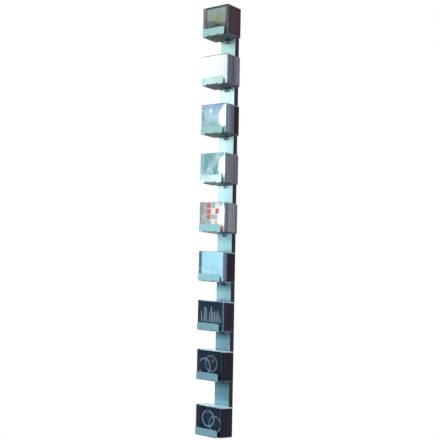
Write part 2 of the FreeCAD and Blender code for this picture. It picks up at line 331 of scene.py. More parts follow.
class NodeBench:
    """Lays out one node tree. Any input takes a plain value or another node's output."""

    def __init__(self, tree):
        self.tree = tree
        self.count = 0

    def feed(self, socket, source):
        if isinstance(source, bpy.types.NodeSocket):
            self.tree.links.new(source, socket)
        else:
            socket.default_value = source

    def add(self, kind, feeds=None, **settings):
        node = self.tree.nodes.new(kind)
        node.location = (self.count // 4 * 220, self.count % 4 * -260)
        self.count += 1
        for name, value in settings.items():
            setattr(node, name, value)
        for key, source in (feeds or {}).items():
            self.feed(node.inputs[key], source)
        return node

    def math(self, operation, first, second=0.0, third=0.0):
        feeds = {0: first, 1: second, 2: third}
        return self.add("ShaderNodeMath", feeds, operation=operation).outputs[0]

    def times(self, *factors):
        product = factors[0]
        for factor in factors[1:]:
            product = self.math("MULTIPLY", product, factor)
        return product

    def minus(self, first, second):
        return self.math("SUBTRACT", first, second)

    def plus(self, first, second):
        return self.math("ADD", first, second)

    def off(self, value, middle=0.5):
        """How far a value lies from a middle value."""
        return self.math("ABSOLUTE", self.minus(value, middle))

    def blend(self, first, second, share):
        """Two values added up, the first by its share and the second by the rest."""
        return self.math("MULTIPLY_ADD", first, share, self.times(second, 1.0 - share))

    def ease(self, value, low, high, start=0.0, end=1.0):
        """Value carried smoothly from start to end as it goes from low to high."""
        feeds = {"Value": value, "From Min": low, "From Max": high, "To Min": start, "To Max": end}
        return self.add("ShaderNodeMapRange", feeds, interpolation_type="SMOOTHSTEP").outputs[0]

    def vector_math(self, operation, *vectors):
        node = self.add("ShaderNodeVectorMath", dict(enumerate(vectors)), operation=operation)
        single = operation in ("DISTANCE", "DOT_PRODUCT", "LENGTH")
        return node.outputs["Value" if single else "Vector"]

    def vector(self, x, y, z=0.0):
        return self.add("ShaderNodeCombineXYZ", {0: x, 1: y, 2: z}).outputs[0]

    def parts(self, vector):
        return self.add("ShaderNodeSeparateXYZ", {0: vector}).outputs

    def stretch(self, vector, scale):
        return self.add("ShaderNodeMapping", {"Vector": vector, "Scale": scale}).outputs[0]

    def noise(self, vector, scale, detail=3.0, roughness=0.55):
        feeds = {"Vector": vector, "Scale": scale, "Detail": detail, "Roughness": roughness}
        return self.add("ShaderNodeTexNoise", feeds).outputs["Fac"]

    def mix(self, factor, first, second, blend="MIX"):
        feeds = {0: factor, 6: first, 7: second}
        return self.add("ShaderNodeMix", feeds, data_type="RGBA", blend_type=blend).outputs[2]

    def paint(self, field, mask, strength, colour):
        """Field with a colour laid over it under a mask, at the given strength."""
        return self.mix(self.times(mask, strength), field, colour)

    def dim(self, colour, factor):
        """Colour multiplied by another one."""
        return self.mix(1.0, colour, factor, "MULTIPLY")

    def mix_shaders(self, factor, first, second):
        return self.add("ShaderNodeMixShader", {0: factor, 1: first, 2: second}).outputs[0]

    def group(self, name, feeds):
        return self.add("ShaderNodeGroup", feeds, node_tree=shared_group(name)).outputs

    def normal(self):
        return self.add("ShaderNodeNewGeometry").outputs["Normal"]

    def seen_directly(self):
        """1 for rays from the eye, from a reflection or through clear plastic, and otherwise 0."""
        ray = self.add("ShaderNodeLightPath").outputs
        mirrored = self.math("MAXIMUM", ray["Is Glossy Ray"], ray["Is Transmission Ray"])
        return self.math("MAXIMUM", ray["Is Camera Ray"], mirrored)


FLOAT = "NodeSocketFloat"
COLOUR = "NodeSocketColor"
VECTOR = "NodeSocketVector"


def start_group(name, inputs, outputs):
    """New node group. Inputs are a kind of socket or a number's default, and outputs are kinds."""
    tree = bpy.data.node_groups.new(name, "ShaderNodeTree")
    for label, given in inputs.items():
        kind = given if given in (COLOUR, VECTOR) else FLOAT
        socket = tree.interface.new_socket(name=label, in_out="INPUT", socket_type=kind)
        if kind == FLOAT:
            socket.default_value = given
    for label, kind in outputs.items():
        tree.interface.new_socket(name=label, in_out="OUTPUT", socket_type=kind)
    bench = NodeBench(tree)
    source = bench.add("NodeGroupInput").outputs
    drain = bench.add("NodeGroupOutput").inputs
    return bench, source, drain


def height_tint_group(name):
    """Colour that changes from the rack's top, past its middle, to its foot."""
    heights = {"Foot Height": -0.9, "Top Height": 0.9}
    bench, source, drain = start_group(
        name,
        {"Place": VECTOR, "Top": COLOUR, "Middle": COLOUR, "Foot": COLOUR, **heights},
        {"Colour": COLOUR},
    )
    height = bench.parts(source["Place"])["Z"]
    middle = bench.blend(source["Foot Height"], source["Top Height"], 0.5)
    lower = bench.ease(height, source["Foot Height"], middle)
    upper = bench.ease(height, middle, source["Top Height"])
    low_colour = bench.mix(lower, source["Foot"], source["Middle"])
    bench.feed(drain["Colour"], bench.mix(upper, low_colour, source["Top"]))


def brushed_grain_group(name):
    """Fine parallel scratches, as a brush or a plane leaves them."""
    bench, source, drain = start_group(
        name,
        {"Place": VECTOR, "Stretch": VECTOR},
        {"Streak": FLOAT, "Height": FLOAT},
    )
    place = bench.vector_math("MULTIPLY", source["Place"], source["Stretch"])
    fine = bench.noise(place, 1.0, 4.0, 0.65)
    broad = bench.noise(place, 0.13, 2.0, 0.5)
    height = bench.blend(fine, broad, 0.6)
    bench.feed(drain["Streak"], bench.ease(height, 0.3, 0.7))
    bench.feed(drain["Height"], height)


def edge_wear_group(name):
    """Mask along edges, broken up as handling breaks a finish."""
    bench, source, drain = start_group(
        name,
        {"Place": VECTOR, "Radius": 1.0 * MM, "Amount": 1.0},
        {"Mask": FLOAT},
    )
    rounded = bench.add("ShaderNodeBevel", {"Radius": source["Radius"]}, samples=4).outputs[0]
    facing = bench.vector_math("DOT_PRODUCT", rounded, bench.normal())
    edge = bench.ease(facing, 0.995, 0.86)
    patches = bench.ease(bench.noise(source["Place"], 140.0), 0.36, 0.6)
    bench.feed(drain["Mask"], bench.times(edge, patches, source["Amount"]))


def handling_group(name):
    """Roughness of a handled surface: a base level, with smears and a little dust."""
    bench, source, drain = start_group(
        name,
        {"Place": VECTOR, "Clean": 0.2, "Smeared": 0.4, "Scale": 30.0},
        {"Roughness": FLOAT, "Dust": FLOAT},
    )
    smears = bench.ease(bench.noise(source["Place"], source["Scale"], 4.0), 0.42, 0.72)
    span = bench.minus(source["Smeared"], source["Clean"])
    bench.feed(drain["Roughness"], bench.math("MULTIPLY_ADD", smears, span, source["Clean"]))
    specks = bench.noise(source["Place"], bench.times(source["Scale"], 45.0), 2.0)
    bench.feed(drain["Dust"], bench.ease(specks, 0.66, 0.78))


def cover_disc_group(name):
    """Disc and ring on a printed cover. Places run from 0 to 1 across and up the cover."""
    bench, source, drain = start_group(
        name,
        {"Sheet": VECTOR, "Across": 0.5, "Up": 0.5, "Radius": 0.2, "Line": 0.02, "Softness": 0.01},
        {"Disc": FLOAT, "Ring": FLOAT},
    )
    centre = bench.vector(source["Across"], source["Up"])
    reach = bench.vector_math("DISTANCE", source["Sheet"], centre)
    outer = bench.plus(source["Radius"], source["Softness"])
    bench.feed(drain["Disc"], bench.ease(reach, outer, source["Radius"]))
    off_line = bench.off(reach, source["Radius"])
    line_edge = bench.plus(source["Line"], source["Softness"])
    bench.feed(drain["Ring"], bench.ease(off_line, line_edge, source["Line"]))


def cover_band_group(name):
    """Straight band, and even stripes, across a printed cover at any angle."""
    stripes = {"Stripes": 8.0, "Share": 0.5}
    bench, source, drain = start_group(
        name,
        {"Sheet": VECTOR, "Angle": 0.0, "Offset": 0.0, "Width": 0.1, "Softness": 0.01, **stripes},
        {"Band": FLOAT, "Stripe": FLOAT},
    )
    feeds = {"Vector": source["Sheet"], "Center": (0.5, 0.5, 0.0), "Angle": source["Angle"]}
    turned = bench.add("ShaderNodeVectorRotate", feeds, rotation_type="Z_AXIS").outputs[0]
    across = bench.minus(bench.parts(turned)["X"], 0.5)
    off_line = bench.off(across, source["Offset"])
    half = bench.times(source["Width"], 0.5)
    bench.feed(drain["Band"], bench.ease(off_line, bench.plus(half, source["Softness"]), half))
    turns = bench.math("FRACT", bench.times(across, source["Stripes"]))
    half_share = bench.times(source["Share"], 0.5)
    stripe = bench.ease(bench.off(turns), bench.plus(half_share, 0.06), half_share)
    bench.feed(drain["Stripe"], stripe)


def cover_wave_group(name):
    """Everything below a wavy line on a printed cover."""
    bench, source, drain = start_group(
        name,
        {"Sheet": VECTOR, "Level": 0.5, "Swing": 0.05, "Waves": 1.0, "Start": 0.0, "Softness": 0.01},
        {"Mask": FLOAT},
    )
    place = bench.parts(source["Sheet"])
    turns = bench.math("MULTIPLY_ADD", place["X"], source["Waves"], source["Start"])
    swing = bench.math("SINE", bench.times(turns, math.tau))
    line = bench.math("MULTIPLY_ADD", swing, source["Swing"], source["Level"])
    bench.feed(drain["Mask"], bench.ease(bench.minus(place["Y"], line), source["Softness"], 0.0))


def cover_tile_group(name):
    """Rows of separate tiles on a printed cover, each with a chance value of its own."""
    bench, source, drain = start_group(
        name,
        {"Sheet": VECTOR, "Columns": 5.0, "Rows": 5.0, "Gap": 0.1},
        {"Tile": FLOAT, "Chance": FLOAT, "Column Chance": FLOAT, "Off Middle": FLOAT},
    )
    counts = bench.vector(source["Columns"], source["Rows"], 1.0)
    grown = bench.vector_math("MULTIPLY", source["Sheet"], counts)
    cell = bench.vector_math("FLOOR", grown)
    inside = bench.parts(bench.vector_math("FRACTION", grown))
    sideways = bench.off(inside["X"])
    furthest = bench.math("MAXIMUM", sideways, bench.off(inside["Y"]))
    rim = bench.minus(0.5, bench.times(source["Gap"], 0.5))
    bench.feed(drain["Tile"], bench.ease(furthest, rim, bench.minus(rim, 0.05)))
    chance = bench.add("ShaderNodeTexWhiteNoise", {"Vector": cell}, noise_dimensions="3D")
    bench.feed(drain["Chance"], chance.outputs["Value"])
    column = bench.parts(cell)["X"]
    column_chance = bench.add("ShaderNodeTexWhiteNoise", {"W": column}, noise_dimensions="1D")
    bench.feed(drain["Column Chance"], column_chance.outputs["Value"])
    bench.feed(drain["Off Middle"], sideways)


def print_ink_group(name):
    """Printed colour with uneven ink and the tooth of the paper."""
    bench, source, drain = start_group(
        name,
        {"Place": VECTOR, "Ink": COLOUR, "Unevenness": 0.1},
        {"Colour": COLOUR, "Height": FLOAT},
    )
    cloud = bench.ease(bench.noise(source["Place"], 60.0, 5.0), 0.3, 0.7)
    lighter = bench.mix(source["Unevenness"], source["Ink"], WHITE, "SOFT_LIGHT")
    darker = bench.mix(source["Unevenness"], source["Ink"], BLACK, "SOFT_LIGHT")
    bench.feed(drain["Colour"], bench.mix(cloud, darker, lighter))
    bench.feed(drain["Height"], bench.noise(source["Place"], 2600.0, 2.0))


GROUP_MAKERS = {
    "Height Tint": height_tint_group,
    "Brushed Grain": brushed_grain_group,
    "Edge Wear": edge_wear_group,
    "Handling": handling_group,
    "Cover Disc": cover_disc_group,
    "Cover Band": cover_band_group,
    "Cover Wave": cover_wave_group,
    "Cover Tiles": cover_tile_group,
    "Print Ink": print_ink_group,
}


def shared_group(name):
    """Node group of that name, made when it is first asked for."""
    if name not in bpy.data.node_groups:
        GROUP_MAKERS[name](name)
    return bpy.data.node_groups[name]


class FinishBench(NodeBench):
    """Node tree of a new material, with its shader and the place on the piece, in metres."""

    def __init__(self, name):
        material = bpy.data.materials.new(name)
        material.use_nodes = True
        material.node_tree.nodes.clear()
        super().__init__(material.node_tree)
        self.shader = self.add("ShaderNodeBsdfPrincipled")
        self.surface = self.shader.outputs[0]
        self.output = self.add("ShaderNodeOutputMaterial", {"Surface": self.surface})
        self.place = self.add("ShaderNodeTexCoord").outputs["Object"]
        self.colours = bpy.context.scene.cd_rack_finish

    def dress(self, feeds):
        """Feeds inputs of the shader, by name."""
        for name, source in feeds.items():
            self.feed(self.shader.inputs[name], source)

    def bump(self, height, strength, distance):
        feeds = {"Height": height, "Strength": strength, "Distance": distance}
        self.dress({"Normal": self.add("ShaderNodeBump", feeds).outputs[0]})

    def show(self, surface):
        """Puts another surface in the place of the plain shader."""
        self.feed(self.output.inputs["Surface"], surface)

    def lower_share(self, upper=0.0, lower=1.0):
        """Goes from one value on the rack's upper half to another on its lower half."""
        return self.ease(self.parts(self.place)["Z"], *LOWER_HALF, upper, lower)

    def by_height(self, top, middle, foot, foot_height=-0.9, top_height=0.9):
        feeds = {"Place": self.place, "Top": top, "Middle": middle, "Foot": foot}
        heights = {"Foot Height": foot_height, "Top Height": top_height}
        return self.group("Height Tint", {**feeds, **heights})["Colour"]

    def grain(self, strokes):
        return self.group("Brushed Grain", {"Place": self.place, "Stretch": strokes})

    def wear(self, radius, amount):
        feeds = {"Place": self.place, "Radius": radius, "Amount": amount}
        return self.group("Edge Wear", feeds)["Mask"]

    def handled(self, clean, smeared, scale):
        feeds = {"Place": self.place, "Clean": clean, "Smeared": smeared, "Scale": scale}
        return self.group("Handling", feeds)

    def printed(self, ink, unevenness):
        return self.group("Print Ink", {"Place": self.place, "Ink": ink, "Unevenness": unevenness})


def brush_metal(bench, tint, strokes):
    """Gives a metal its tint under brush strokes, smears and bright worn edges."""
    grain = bench.grain(strokes)
    streaked = bench.mix(grain["Streak"], bench.dim(tint, (0.9, 0.91, 0.92, 1.0)), tint)
    worn = bench.mix(bench.wear(radius=1.0 * MM, amount=0.5), streaked, (0.9, 0.94, 0.94, 1.0))
    smeared = bench.handled(clean=0.3, smeared=0.4, scale=9.0)["Roughness"]
    roughness = bench.math("MULTIPLY_ADD", grain["Streak"], -0.06, smeared)
    bench.dress({"Base Color": worn, "Roughness": roughness, "Specular Tint": (0.5, 0.5, 0.5, 1.0)})
    bench.bump(grain["Height"], strength=0.08, distance=0.2 * MM)


def strip_metal(name):
    """Upright brushed strip, bare at its top and under a dull coat at its foot.

    The lower half gets a painted shadow below each tray and a painted reflection of the case tops
    above each row.
    """
    bench = FinishBench(name)
    colours = bench.colours
    place = bench.parts(bench.place)
    # Painted shade: the tint darkens from the top to the foot and towards the strip's right side
    tints = (colours.strip_top, colours.strip_middle, colours.strip_foot)
    tint = bench.by_height(*tints, foot_height=-0.9, top_height=0.95)
    half_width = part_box("face_strip")[1].x
    to_the_right = bench.ease(place["X"], -half_width, half_width)
    tint = bench.mix(to_the_right, tint, bench.dim(tint, colours.strip_right_painted_shade))
    painted_shadow_tint = bench.dim(tint, (0.18, 0.23, 0.26, 1.0))
    tab_ends = [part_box(f"tray_{number}")[0].z for number in TRAYS]
    pitch = tab_ends[0] - tab_ends[1]
    down = bench.minus(tab_ends[0] + TAB_LENGTH, place["Z"])
    below_tray = bench.math("FRACT", bench.math("DIVIDE", down, pitch))
    last_lids = [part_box(f"front_lid_{number}")[0].z for number in TRAYS[-2:]]
    longer = (last_lids[0] - last_lids[1]) / pitch - 1.0
    in_last_gap = bench.math("LESS_THAN", place["Z"], tab_ends[-2])
    above_row = bench.math("MULTIPLY_ADD", in_last_gap, -longer, below_tray)
    lower_half = bench.lower_share()
    # Painted reflection of the case tops, which brightens the lower strip above each row
    rubbed = bench.ease(above_row, PAINTED_REFLECTION_FROM / pitch, PAINTED_REFLECTION_MOST / pitch, 0.0, 0.7)
    tint = bench.paint(tint, rubbed, lower_half, colours.strip_painted_reflection)
    # Painted shadow under each tray on the lower strip
    painted_tray_shadow = bench.ease(below_tray, PAINTED_SHADOW_REACH / pitch, 0.0)
    tint = bench.paint(tint, painted_tray_shadow, lower_half, painted_shadow_tint)
    coat = bench.ease(place["Z"], *COAT_HEIGHTS, 0.0, COAT_SHARE)
    bench.dress({"Metallic": bench.minus(1.0, coat)})
    brush_metal(bench, tint, UPRIGHT_STROKES)


def tray_metal(name):
    """Brushed sheet, darkening towards the lowest trays, with painted shade where it looks down and a
    painted shadow on the tab at its rear.
    """
    bench = FinishBench(name)
    colours = bench.colours
    # Painted shade: the tint darkens from the highest trays to the lowest
    tints = (colours.tray_top, colours.tray_middle, colours.tray_foot)
    tint = bench.by_height(*tints, foot_height=-0.55, top_height=0.3)
    # Painted shadow on the rear tab, stronger on the lower trays
    tab_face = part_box("face_strip")[0].y - TAB_DEPTH
    tab_shadow_share = bench.lower_share(0.36, 0.95)
    depth = bench.parts(bench.place)["Y"]
    behind = bench.ease(depth, tab_face - 2.0 * MM, tab_face, 0.0, tab_shadow_share)
    # Painted shade on the faces that look down
    under = bench.ease(bench.parts(bench.normal())["Z"], -0.5, -0.96)
    tint = bench.mix(under, bench.mix(behind, tint, colours.tab), colours.underside)
    bench.dress({"Metallic": 1.0})
    brush_metal(bench, tint, LEVEL_STROKES)


def turned_steel(name):
    """Steel of the screws, darkened by a painted shadow on the rack's lower half."""
    bench = FinishBench(name)
    colours = bench.colours
    grain = bench.grain((2600.0, 500.0, 2600.0))
    # Painted shadow: the screws take the tab's dark tint on the rack's lower half
    tint = bench.mix(bench.lower_share(0.0, 0.7), colours.screw, colours.tab)
    streaked = bench.mix(grain["Streak"], bench.dim(tint, (0.6, 0.6, 0.62, 1.0)), tint)
    worn = bench.mix(bench.wear(radius=0.4 * MM, amount=0.8), streaked, (0.9, 0.91, 0.92, 1.0))
    roughness = bench.ease(grain["Streak"], 0.0, 1.0, 0.36, 0.22)
    bench.dress({"Base Color": worn, "Metallic": 1.0, "Roughness": roughness})
    bench.bump(grain["Height"], strength=0.1, distance=0.2 * MM)


def board_wood(name):
    """Board with upright grain under a dark stain, rubbed paler along its edges."""
    bench = FinishBench(name)
    colours = bench.colours
    figure_place = bench.stretch(bench.place, (34.0, 34.0, 1.6))
    bands = bench.add(
        "ShaderNodeTexWave",
        {"Vector": figure_place, "Scale": 1.4, "Distortion": 5.0, "Detail": 3.0, "Detail Scale": 1.3},
        bands_direction="DIAGONAL",
    ).outputs["Fac"]
    bend = bench.noise(figure_place, 1.0, 3.0, 0.6)
    figure = bench.ease(bench.blend(bands, bend, 0.55), 0.2, 0.85)
    stain = bench.mix(figure, colours.wood_dark, colours.wood_light)
    pore_place = bench.stretch(bench.place, (1500.0, 1500.0, 26.0))
    pores = bench.ease(bench.noise(pore_place, 1.0, 2.0, 0.6), 0.62, 0.72)
    stain = bench.paint(stain, pores, 0.7, (0.006, 0.004, 0.004, 1.0))
    # Painted shade: darker towards the board's front and towards the rack's foot
    front, rear = (CAD_HIGH.y - distance for distance in DARKER_FRONT)
    towards_rear = bench.ease(bench.parts(bench.place)["Y"], front, rear)
    stain = bench.mix(towards_rear, bench.dim(stain, (0.5, 0.52, 0.62, 1.0)), stain)
    stain = bench.dim(stain, bench.by_height(WHITE, (0.8, 0.95, 1.0, 1.0), (0.3, 0.6, 0.8, 1.0)))
    worn = bench.mix(bench.wear(radius=1.6 * MM, amount=0.5), stain, colours.wood_worn)
    roughness = bench.handled(clean=0.36, smeared=0.52, scale=14.0)["Roughness"]
    bench.dress({"Base Color": worn, "Roughness": roughness, "Specular IOR Level": 0.2})
    bench.bump(bench.minus(figure, pores), strength=0.2, distance=0.2 * MM)


def lid_plastic(name):
    """Clear moulded plastic that lets the lamps' light through to what lies behind it."""
    bench = FinishBench(name)
    tint = bench.colours.clear_plastic
    roughness = bench.handled(clean=0.02, smeared=0.03, scale=16.0)["Roughness"]
    bench.dress({"Base Color": tint, "Roughness": roughness, "IOR": 1.2, "Transmission Weight": 1.0})
    open_way = bench.add("ShaderNodeBsdfTransparent", {"Color": tint}).outputs[0]
    in_shadow = bench.add("ShaderNodeLightPath").outputs["Is Shadow Ray"]
    bench.show(bench.mix_shaders(in_shadow, bench.surface, open_way))


def moulded_plastic(name, colour):
    """Opaque glossy plastic with a fine moulded skin."""
    bench = FinishBench(name)
    handled = bench.handled(clean=0.12, smeared=0.3, scale=40.0)
    paler = bench.mix(0.25, colour, (0.75, 0.78, 0.8, 1.0))
    dusty = bench.paint(colour, handled["Dust"], 0.25, paler)
    worn = bench.mix(bench.wear(radius=0.5 * MM, amount=0.2), dusty, paler)
    bench.dress({"Base Color": worn, "Roughness": handled["Roughness"], "Specular IOR Level": 0.12})
    bench.bump(bench.noise(bench.place, 1800.0, 2.0), strength=0.03, distance=0.1 * MM)


def ridged_edge(name):
    """Fine ridges along the upper edges of a case, with painted highlights and painted shade across
    them, and a tint that is a painted reflection.
    """
    bench = FinishBench(name)
    colours = bench.colours
    tints = (colours.edge_top, colours.edge_middle, colours.edge_foot)
    # Painted reflection: dark on the highest cases, pale on the lowest
    tint = bench.by_height(*tints, foot_height=-0.5, top_height=1.0)
    across = bench.parts(bench.place)["X"]
    # Painted highlight on each ridge and painted shade between them
    ridges = bench.math("SINE", bench.times(across, math.tau / RIDGE_PITCH))
    duller = bench.dim(tint, (0.86, 0.87, 0.88, 1.0))
    ridged = bench.mix(bench.ease(ridges, -0.4, 0.4), duller, tint)
    roughness = bench.handled(clean=0.18, smeared=0.34, scale=40.0)["Roughness"]
    bench.dress({"Base Color": ridged, "Roughness": roughness, "Specular IOR Level": 0.45})
    bench.bump(ridges, strength=0.1, distance=0.2 * MM)


def worn_edge_in_painted_shade(name):
    """Lower edges of a case, scuffed where they slide on a tray, in a dark tint that is painted shade.
    """
    bench = FinishBench(name)
    tint = bench.colours.worn_edge_in_painted_shade
    scuffs = bench.grain((900.0, 60.0, 900.0))
    scuffed = bench.mix(scuffs["Streak"], bench.dim(tint, (0.7, 0.7, 0.72, 1.0)), tint)
    roughness = bench.ease(scuffs["Streak"], 0.0, 1.0, 0.3, 0.45)
    bench.dress({"Base Color": scuffed, "Roughness": roughness})
    bench.dress({"Specular IOR Level": 0.15, "Specular Tint": (0.25, 0.25, 0.25, 1.0)})
    bench.bump(scuffs["Height"], strength=0.06, distance=0.1 * MM)


def page_paper(name):
    """Paper of the pages, which show at a booklet's edges."""
    bench = FinishBench(name)
    printed = bench.printed(bench.colours.page, 0.15)
    roughness = bench.ease(printed["Height"], 0.2, 0.8, 0.7, 0.85)
    bench.dress({"Base Color": printed["Colour"], "Roughness": roughness})
    bench.bump(printed["Height"], strength=0.1, distance=0.1 * MM)


class PrintBench(FinishBench):
    """Node tree of a printed material. Its sheet runs from 0 to 1 across and up the print."""

    def __init__(self, name):
        super().__init__(name)
        self.sheet = self.add("ShaderNodeUVMap", uv_map="print").outputs[0]

    def disc(self, across, up, radius, line=0.02, softness=0.01):
        feeds = {"Sheet": self.sheet, "Across": across, "Up": up}
        sizes = {"Radius": radius, "Line": line, "Softness": softness}
        return self.group("Cover Disc", {**feeds, **sizes})

    def band(self, offset, width, softness=0.01, angle=0.0, stripes=8.0, share=0.5):
        feeds = {"Sheet": self.sheet, "Angle": angle, "Stripes": stripes, "Share": share}
        sizes = {"Offset": offset, "Width": width, "Softness": softness}
        return self.group("Cover Band", {**feeds, **sizes})

    def wave(self, level, swing, waves=1.0, start=0.0, softness=0.01):
        feeds = {"Sheet": self.sheet, "Level": level, "Swing": swing}
        sizes = {"Waves": waves, "Start": start, "Softness": softness}
        return self.group("Cover Wave", {**feeds, **sizes})["Mask"]

    def tiles(self, columns, rows, gap):
        feeds = {"Sheet": self.sheet, "Columns": columns, "Rows": rows, "Gap": gap}
        return self.group("Cover Tiles", feeds)

    def bordered(self, field, border, width):
        """Field with an even border of another colour."""
        place = self.parts(self.sheet)
        edge = self.math("MAXIMUM", self.off(place["X"]), self.off(place["Y"]))
        return self.mix(self.ease(edge, 0.5 - width, 0.508 - width), field, border)


def label_print(name):
    """Printed strip under the clear side of a case. The ink colour comes with the mesh."""
    bench = PrintBench(name)
    ink = bench.add("ShaderNodeVertexColor", layer_name="ink").outputs["Color"]
    rule = bench.band(offset=0.3, width=0.08, softness=0.02)["Band"]
    pale_ink = bench.mix(0.3, ink, (0.6, 0.6, 0.62, 1.0))
    printed = bench.printed(bench.paint(ink, rule, 0.5, pale_ink), 0.12)
    roughness = bench.handled(clean=0.12, smeared=0.3, scale=40.0)["Roughness"]
    bench.dress({"Base Color": printed["Colour"], "Roughness": roughness, "Specular IOR Level": 0.06})
    bench.bump(printed["Height"], strength=0.04, distance=0.1 * MM)


def low_sun(bench, colours):
    """Ochre disc over two dark ridges, inside a dark border."""
    up = bench.parts(bench.sheet)["Y"]
    paler = bench.mix(0.2, colours.ground, colours.mark)
    field = bench.mix(bench.ease(up, 0.25, 1.0), colours.ground, paler)
    sun = bench.disc(across=0.6, up=0.56, radius=0.17)["Disc"]
    field = bench.paint(field, sun, 0.8, colours.accent)
    far_ridge = bench.wave(level=0.46, swing=0.07, waves=0.8, start=0.1)
    field = bench.paint(field, far_ridge, 0.55, colours.shadow)
    near_ridge = bench.wave(level=0.34, swing=0.05, waves=1.3, start=0.6)
    field = bench.paint(field, near_ridge, 0.9, colours.shadow)
    return bench.bordered(field, colours.shadow, 0.055)


def pale_rings(bench, colours):
    """Faint rings on white, with painted shade that darkens it a little to the right."""
    across = bench.parts(bench.sheet)["X"]
    # Painted shade towards the cover's right side
    field = bench.mix(bench.ease(across, 0.5, 1.1), colours.ground, colours.shadow)
    for radius, strength in ((0.12, 0.5), (0.2, 0.4), (0.28, 0.3), (0.36, 0.2)):
        ring = bench.disc(across=0.42, up=0.55, radius=radius, line=0.012)["Ring"]
        field = bench.paint(field, ring, strength, colours.accent)
    foot = bench.wave(level=0.12, swing=0.0)
    return bench.paint(field, foot, 0.5, colours.shadow)


def layered_tide(bench, colours):
    """Sky that fades downwards over three layers of waves."""
    up = bench.parts(bench.sheet)["Y"]
    field = bench.mix(bench.ease(up, 0.4, 1.0), colours.accent, colours.ground)
    layers = ((0.5, 1.0, 0.2, 0.45), (0.36, 1.4, 0.7, 0.6), (0.2, 1.1, 0.0, 0.8))
    for level, waves, start, strength in layers:
        wave = bench.wave(level, swing=0.035, waves=waves, start=start, softness=0.03)
        field = bench.paint(field, wave, strength, colours.shadow)
    moon = bench.disc(across=0.3, up=0.78, radius=0.08)["Disc"]
    field = bench.paint(field, moon, 0.7, colours.mark)
    return bench.bordered(field, shade("6f9ba2"), 0.02)


def washed_stone(bench, colours):
    """Clouded ground with one soft slanting band and a ring."""
    clouds = bench.ease(bench.noise(bench.sheet, 5.0, 6.0, 0.6), 0.3, 0.72)
    field = bench.mix(clouds, colours.shadow, colours.accent)
    field = bench.mix(0.45, field, colours.ground)
    band = bench.band(offset=-0.12, width=0.14, softness=0.12, angle=0.7)["Band"]
    field = bench.paint(field, band, 0.45, colours.mark)
    ring = bench.disc(across=0.3, up=0.34, radius=0.13, line=0.015)["Ring"]
    return bench.paint(field, ring, 0.6, colours.mark)


def loose_tiles(bench, colours):
    """Tiles in four colours, with a plain stripe beside them."""
    tiles = bench.tiles(columns=5.0, rows=5.0, gap=0.07)
    field = colours.ground
    for chance, colour in ((0.34, colours.shadow), (0.54, colours.accent), (0.8, colours.mark)):
        field = bench.mix(bench.ease(tiles["Chance"], chance, chance + 0.02), field, colour)
    field = bench.mix(tiles["Tile"], colours.mark, field)
    stripe = bench.band(offset=-0.4, width=0.2)["Band"]
    return bench.mix(stripe, field, colours.accent)


def thin_fan(bench, colours):
    """Fine slanting lines over a light field, with one ringed disc."""
    clouds = bench.ease(bench.noise(bench.sheet, 3.0, 3.0), 0.35, 0.7)
    field = bench.mix(clouds, colours.ground, colours.shadow)
    field = bench.mix(0.45, field, colours.ground)
    lines = bench.band(offset=0.1, width=0.5, angle=2.35, stripes=9.0, share=0.1)
    fan = bench.times(lines["Stripe"], lines["Band"])
    field = bench.paint(field, fan, 0.45, colours.mark)
    spot = bench.disc(across=0.34, up=0.3, radius=0.14, line=0.014)
    field = bench.paint(field, spot["Disc"], 0.5, colours.accent)
    return bench.paint(field, spot["Ring"], 0.4, colours.mark)


def tall_bars(bench, colours):
    """Pale bars of unequal height on a dark ground."""
    up = bench.parts(bench.sheet)["Y"]
    field = bench.mix(bench.ease(up, 0.1, 1.0), colours.shadow, colours.ground)
    bars = bench.tiles(columns=13.0, rows=1.0, gap=0.1)
    top = bench.math("MULTIPLY_ADD", bars["Column Chance"], 0.5, 0.34)
    below_top = bench.ease(bench.minus(up, top), 0.01, 0.0)
    above_foot = bench.ease(up, 0.27, 0.28)
    between = bench.ease(bars["Off Middle"], 0.26, 0.2)
    bar = bench.times(below_top, above_foot, between)
    tone = bench.mix(bars["Column Chance"], colours.accent, colours.mark)
    return bench.paint(field, bar, 0.75, tone)


def crossing_arcs(bench, colours, across, lift):
    """Two wide arcs that cross on a dark ground, and one small disc."""
    glow = bench.disc(across=across, up=0.5, radius=0.1, softness=0.6)["Disc"]
    field = bench.mix(glow, colours.ground, colours.shadow)
    for side, strength in ((-1.0, 0.85), (1.0, 0.55)):
        arc_across = across + side * 0.16
        arc_up = 0.5 + side * lift
        arc = bench.disc(arc_across, arc_up, radius=0.27, line=0.022)["Ring"]
        field = bench.paint(field, arc, strength, colours.mark)
    disc = bench.disc(across=1.0 - across, up=0.72 - lift, radius=0.075)["Disc"]
    return bench.paint(field, disc, 0.9, colours.accent)


def arcs_on_the_left(bench, colours):
    return crossing_arcs(bench, colours, 0.38, 0.06)


def arcs_on_the_right(bench, colours):
    return crossing_arcs(bench, colours, 0.6, -0.08)


COVER_DESIGNS = (
    low_sun,
    pale_rings,
    layered_tide,
    washed_stone,
    loose_tiles,
    thin_fan,
    tall_bars,
    arcs_on_the_left,
    arcs_on_the_right,
)


def printed_cover(name, number):
    """Printed cover of one tray's front case."""
    bench = PrintBench(name)
    design = COVER_DESIGNS[(number - 1) % len(COVER_DESIGNS)]
    picture = design(bench, bpy.context.scene.cd_rack_covers[number - 1])
    printed = bench.printed(picture, 0.14)
    roughness = bench.ease(printed["Height"], 0.2, 0.8, 0.42, 0.55)
    bench.dress({"Base Color": printed["Colour"], "Roughness": roughness, "Specular IOR Level": 0.25})
    bench.bump(printed["Height"], strength=0.05, distance=0.1 * MM)


def finish_of(maker, name="", *details):
    """Material named after its maker or as given, made when it is first asked for."""
    name = name or maker.__name__
    if name not in bpy.data.materials:
        maker(name, *details)
    return bpy.data.materials[name]


def each_once(items):
    """The items without repeats, in a fixed order."""
    return list(dict.fromkeys(items))


